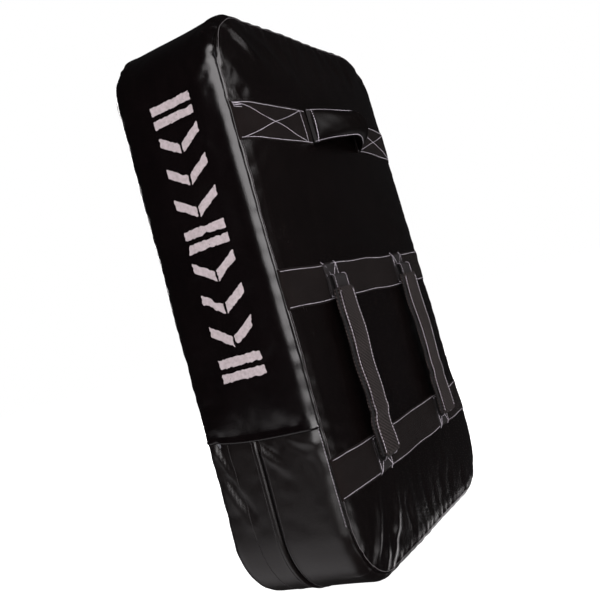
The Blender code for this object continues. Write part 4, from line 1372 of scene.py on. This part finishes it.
# ------------------------------------------------------------------ camera, light and floor
RIGHT_WAY = Vector((0.4773, -0.8348, -0.2744))
UP_WAY = Vector((0.0519, -0.2850, 0.9571))
VIEW_WAY = Vector((0.8772, 0.4711, 0.0927))
camera = bpy.data.objects.new("camera", bpy.data.cameras.new("camera"))
bpy.context.scene.collection.objects.link(camera)
turned = Matrix((RIGHT_WAY, UP_WAY, -VIEW_WAY)).transposed().to_quaternion().normalized()
camera.rotation_mode = "QUATERNION"
camera.rotation_quaternion = turned
camera.location = (-0.8416, -0.4484, 0.2621)
camera.data.sensor_width = 36.0
camera.data.lens = 47.59
camera.data.shift_y = -0.084
camera.data.dof.use_dof = False
bpy.context.scene.camera = camera


def area_light(name, place, target, size, power, colour=(1, 1, 1)):
    light = bpy.data.lights.new(name, "AREA")
    light.shape = "RECTANGLE"
    light.size, light.size_y = size
    light.energy = power
    light.color = colour
    made = bpy.data.objects.new(name, light)
    made.location = place
    made.visible_camera = False
    made.rotation_mode = "QUATERNION"
    made.rotation_quaternion = (Vector(target) - Vector(place)).to_track_quat("-Z", "Y")
    bpy.context.scene.collection.objects.link(made)
    return made


middle = (0, 0, HEIGHT / 2)
area_light("left_softbox", (-1.50, -1.36, 0.95), (0, 0, 0.33), (2.7, 1.9), 80, (1.0, 0.97, 0.98))
area_light("low_card", (-0.84, 0.84, -0.98), (-0.15, 0, 0.05), (2.0, 1.7), 6.5, (1.0, 0.96, 0.98))
area_light("front_low_card", (0.50, -2.00, -0.58), (0, 0, 0.05), (0.80, 0.65), 3.0, (1.0, 0.97, 0.98))
area_light("front_high_card", (0.50, -2.00, 1.25), (0, 0, 0.55), (0.70, 0.4), 1.8, (1.0, 0.97, 0.98))
area_light("right_low_card", (1.35, 0.05, -0.62), (0, -0.07, 0.02), (0.5, 0.4), 1.3, (1.0, 0.96, 0.98))
area_light("rear_softbox", (1.50, 1.90, 1.10), middle, (1.8, 1.2), 45, (1.0, 0.98, 0.98))

world = bpy.data.worlds.new("studio")
world.use_nodes = True
bpy.context.scene.world = world
tree = world.node_tree
ray = tree.nodes.new("ShaderNodeLightPath")
pale = tree.nodes["Background"]
pale.inputs["Color"].default_value = (1, 1, 1, 1)
pale.inputs["Strength"].default_value = 1.0
dim = tree.nodes.new("ShaderNodeBackground")
dim.inputs["Color"].default_value = (0.95, 0.96, 1, 1)
dim.inputs["Strength"].default_value = 0.02
mix = tree.nodes.new("ShaderNodeMixShader")
tree.links.new(ray.outputs["Is Camera Ray"], mix.inputs["Fac"])
tree.links.new(dim.outputs[0], mix.inputs[1])
tree.links.new(pale.outputs[0], mix.inputs[2])
tree.links.new(mix.outputs[0], tree.nodes["World Output"].inputs["Surface"])
bpy.context.scene.view_settings.view_transform = "Standard"

floor_paint = Graph("studio_floor")
floor_tone = floor_paint.ramp(floor_paint.noise(3, 2), 0.90, 0.93)
floor_paint.finish(floor_tone, 0.9, None, 0.1, **{"Emission Color": (1, 1, 1, 1), "Emission Strength": 1.05})
FLOOR = 30.0
floor = add_mesh("floor", [(-FLOOR, -FLOOR, 0), (FLOOR, -FLOOR, 0), (FLOOR, FLOOR, 0), (-FLOOR, FLOOR, 0)],
                 [(0, 1, 2, 3)], [floor_paint.material], smooth=False)
floor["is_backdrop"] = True
floor.visible_glossy = False
floor.visible_shadow = False

# ------------------------------------------------------------------ finishes of the carried-over CAD nodes
FINISHES = {"foam_core": SOFT_FOAM, "foam_strike_layer": FIRM_FOAM, "foam_back_layer": FIRM_FOAM,
            "zip_coil_front": NYLON, "zip_coil_rear": NYLON, "zip_tape_front": NYLON, "zip_tape_rear": NYLON,
            "zip_slider": METAL, "zip_pull": METAL, "zip_top_stop": METAL, "zip_end_stop": METAL}
for node_name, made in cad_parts.items():
    finish = FINISHES.get(node_name, BAND_WEAVE)
    made.data.materials.clear()
    made.data.materials.append(finish)

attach(middle_thread.make("mid_band_stitching", PALE_THREAD), "shield")
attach(low_thread.make("lower_band_stitching", PALE_THREAD), "shield")

low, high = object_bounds()
{"cad": [list(cad_low), list(cad_high)], "visual": [list(low), list(high)]}
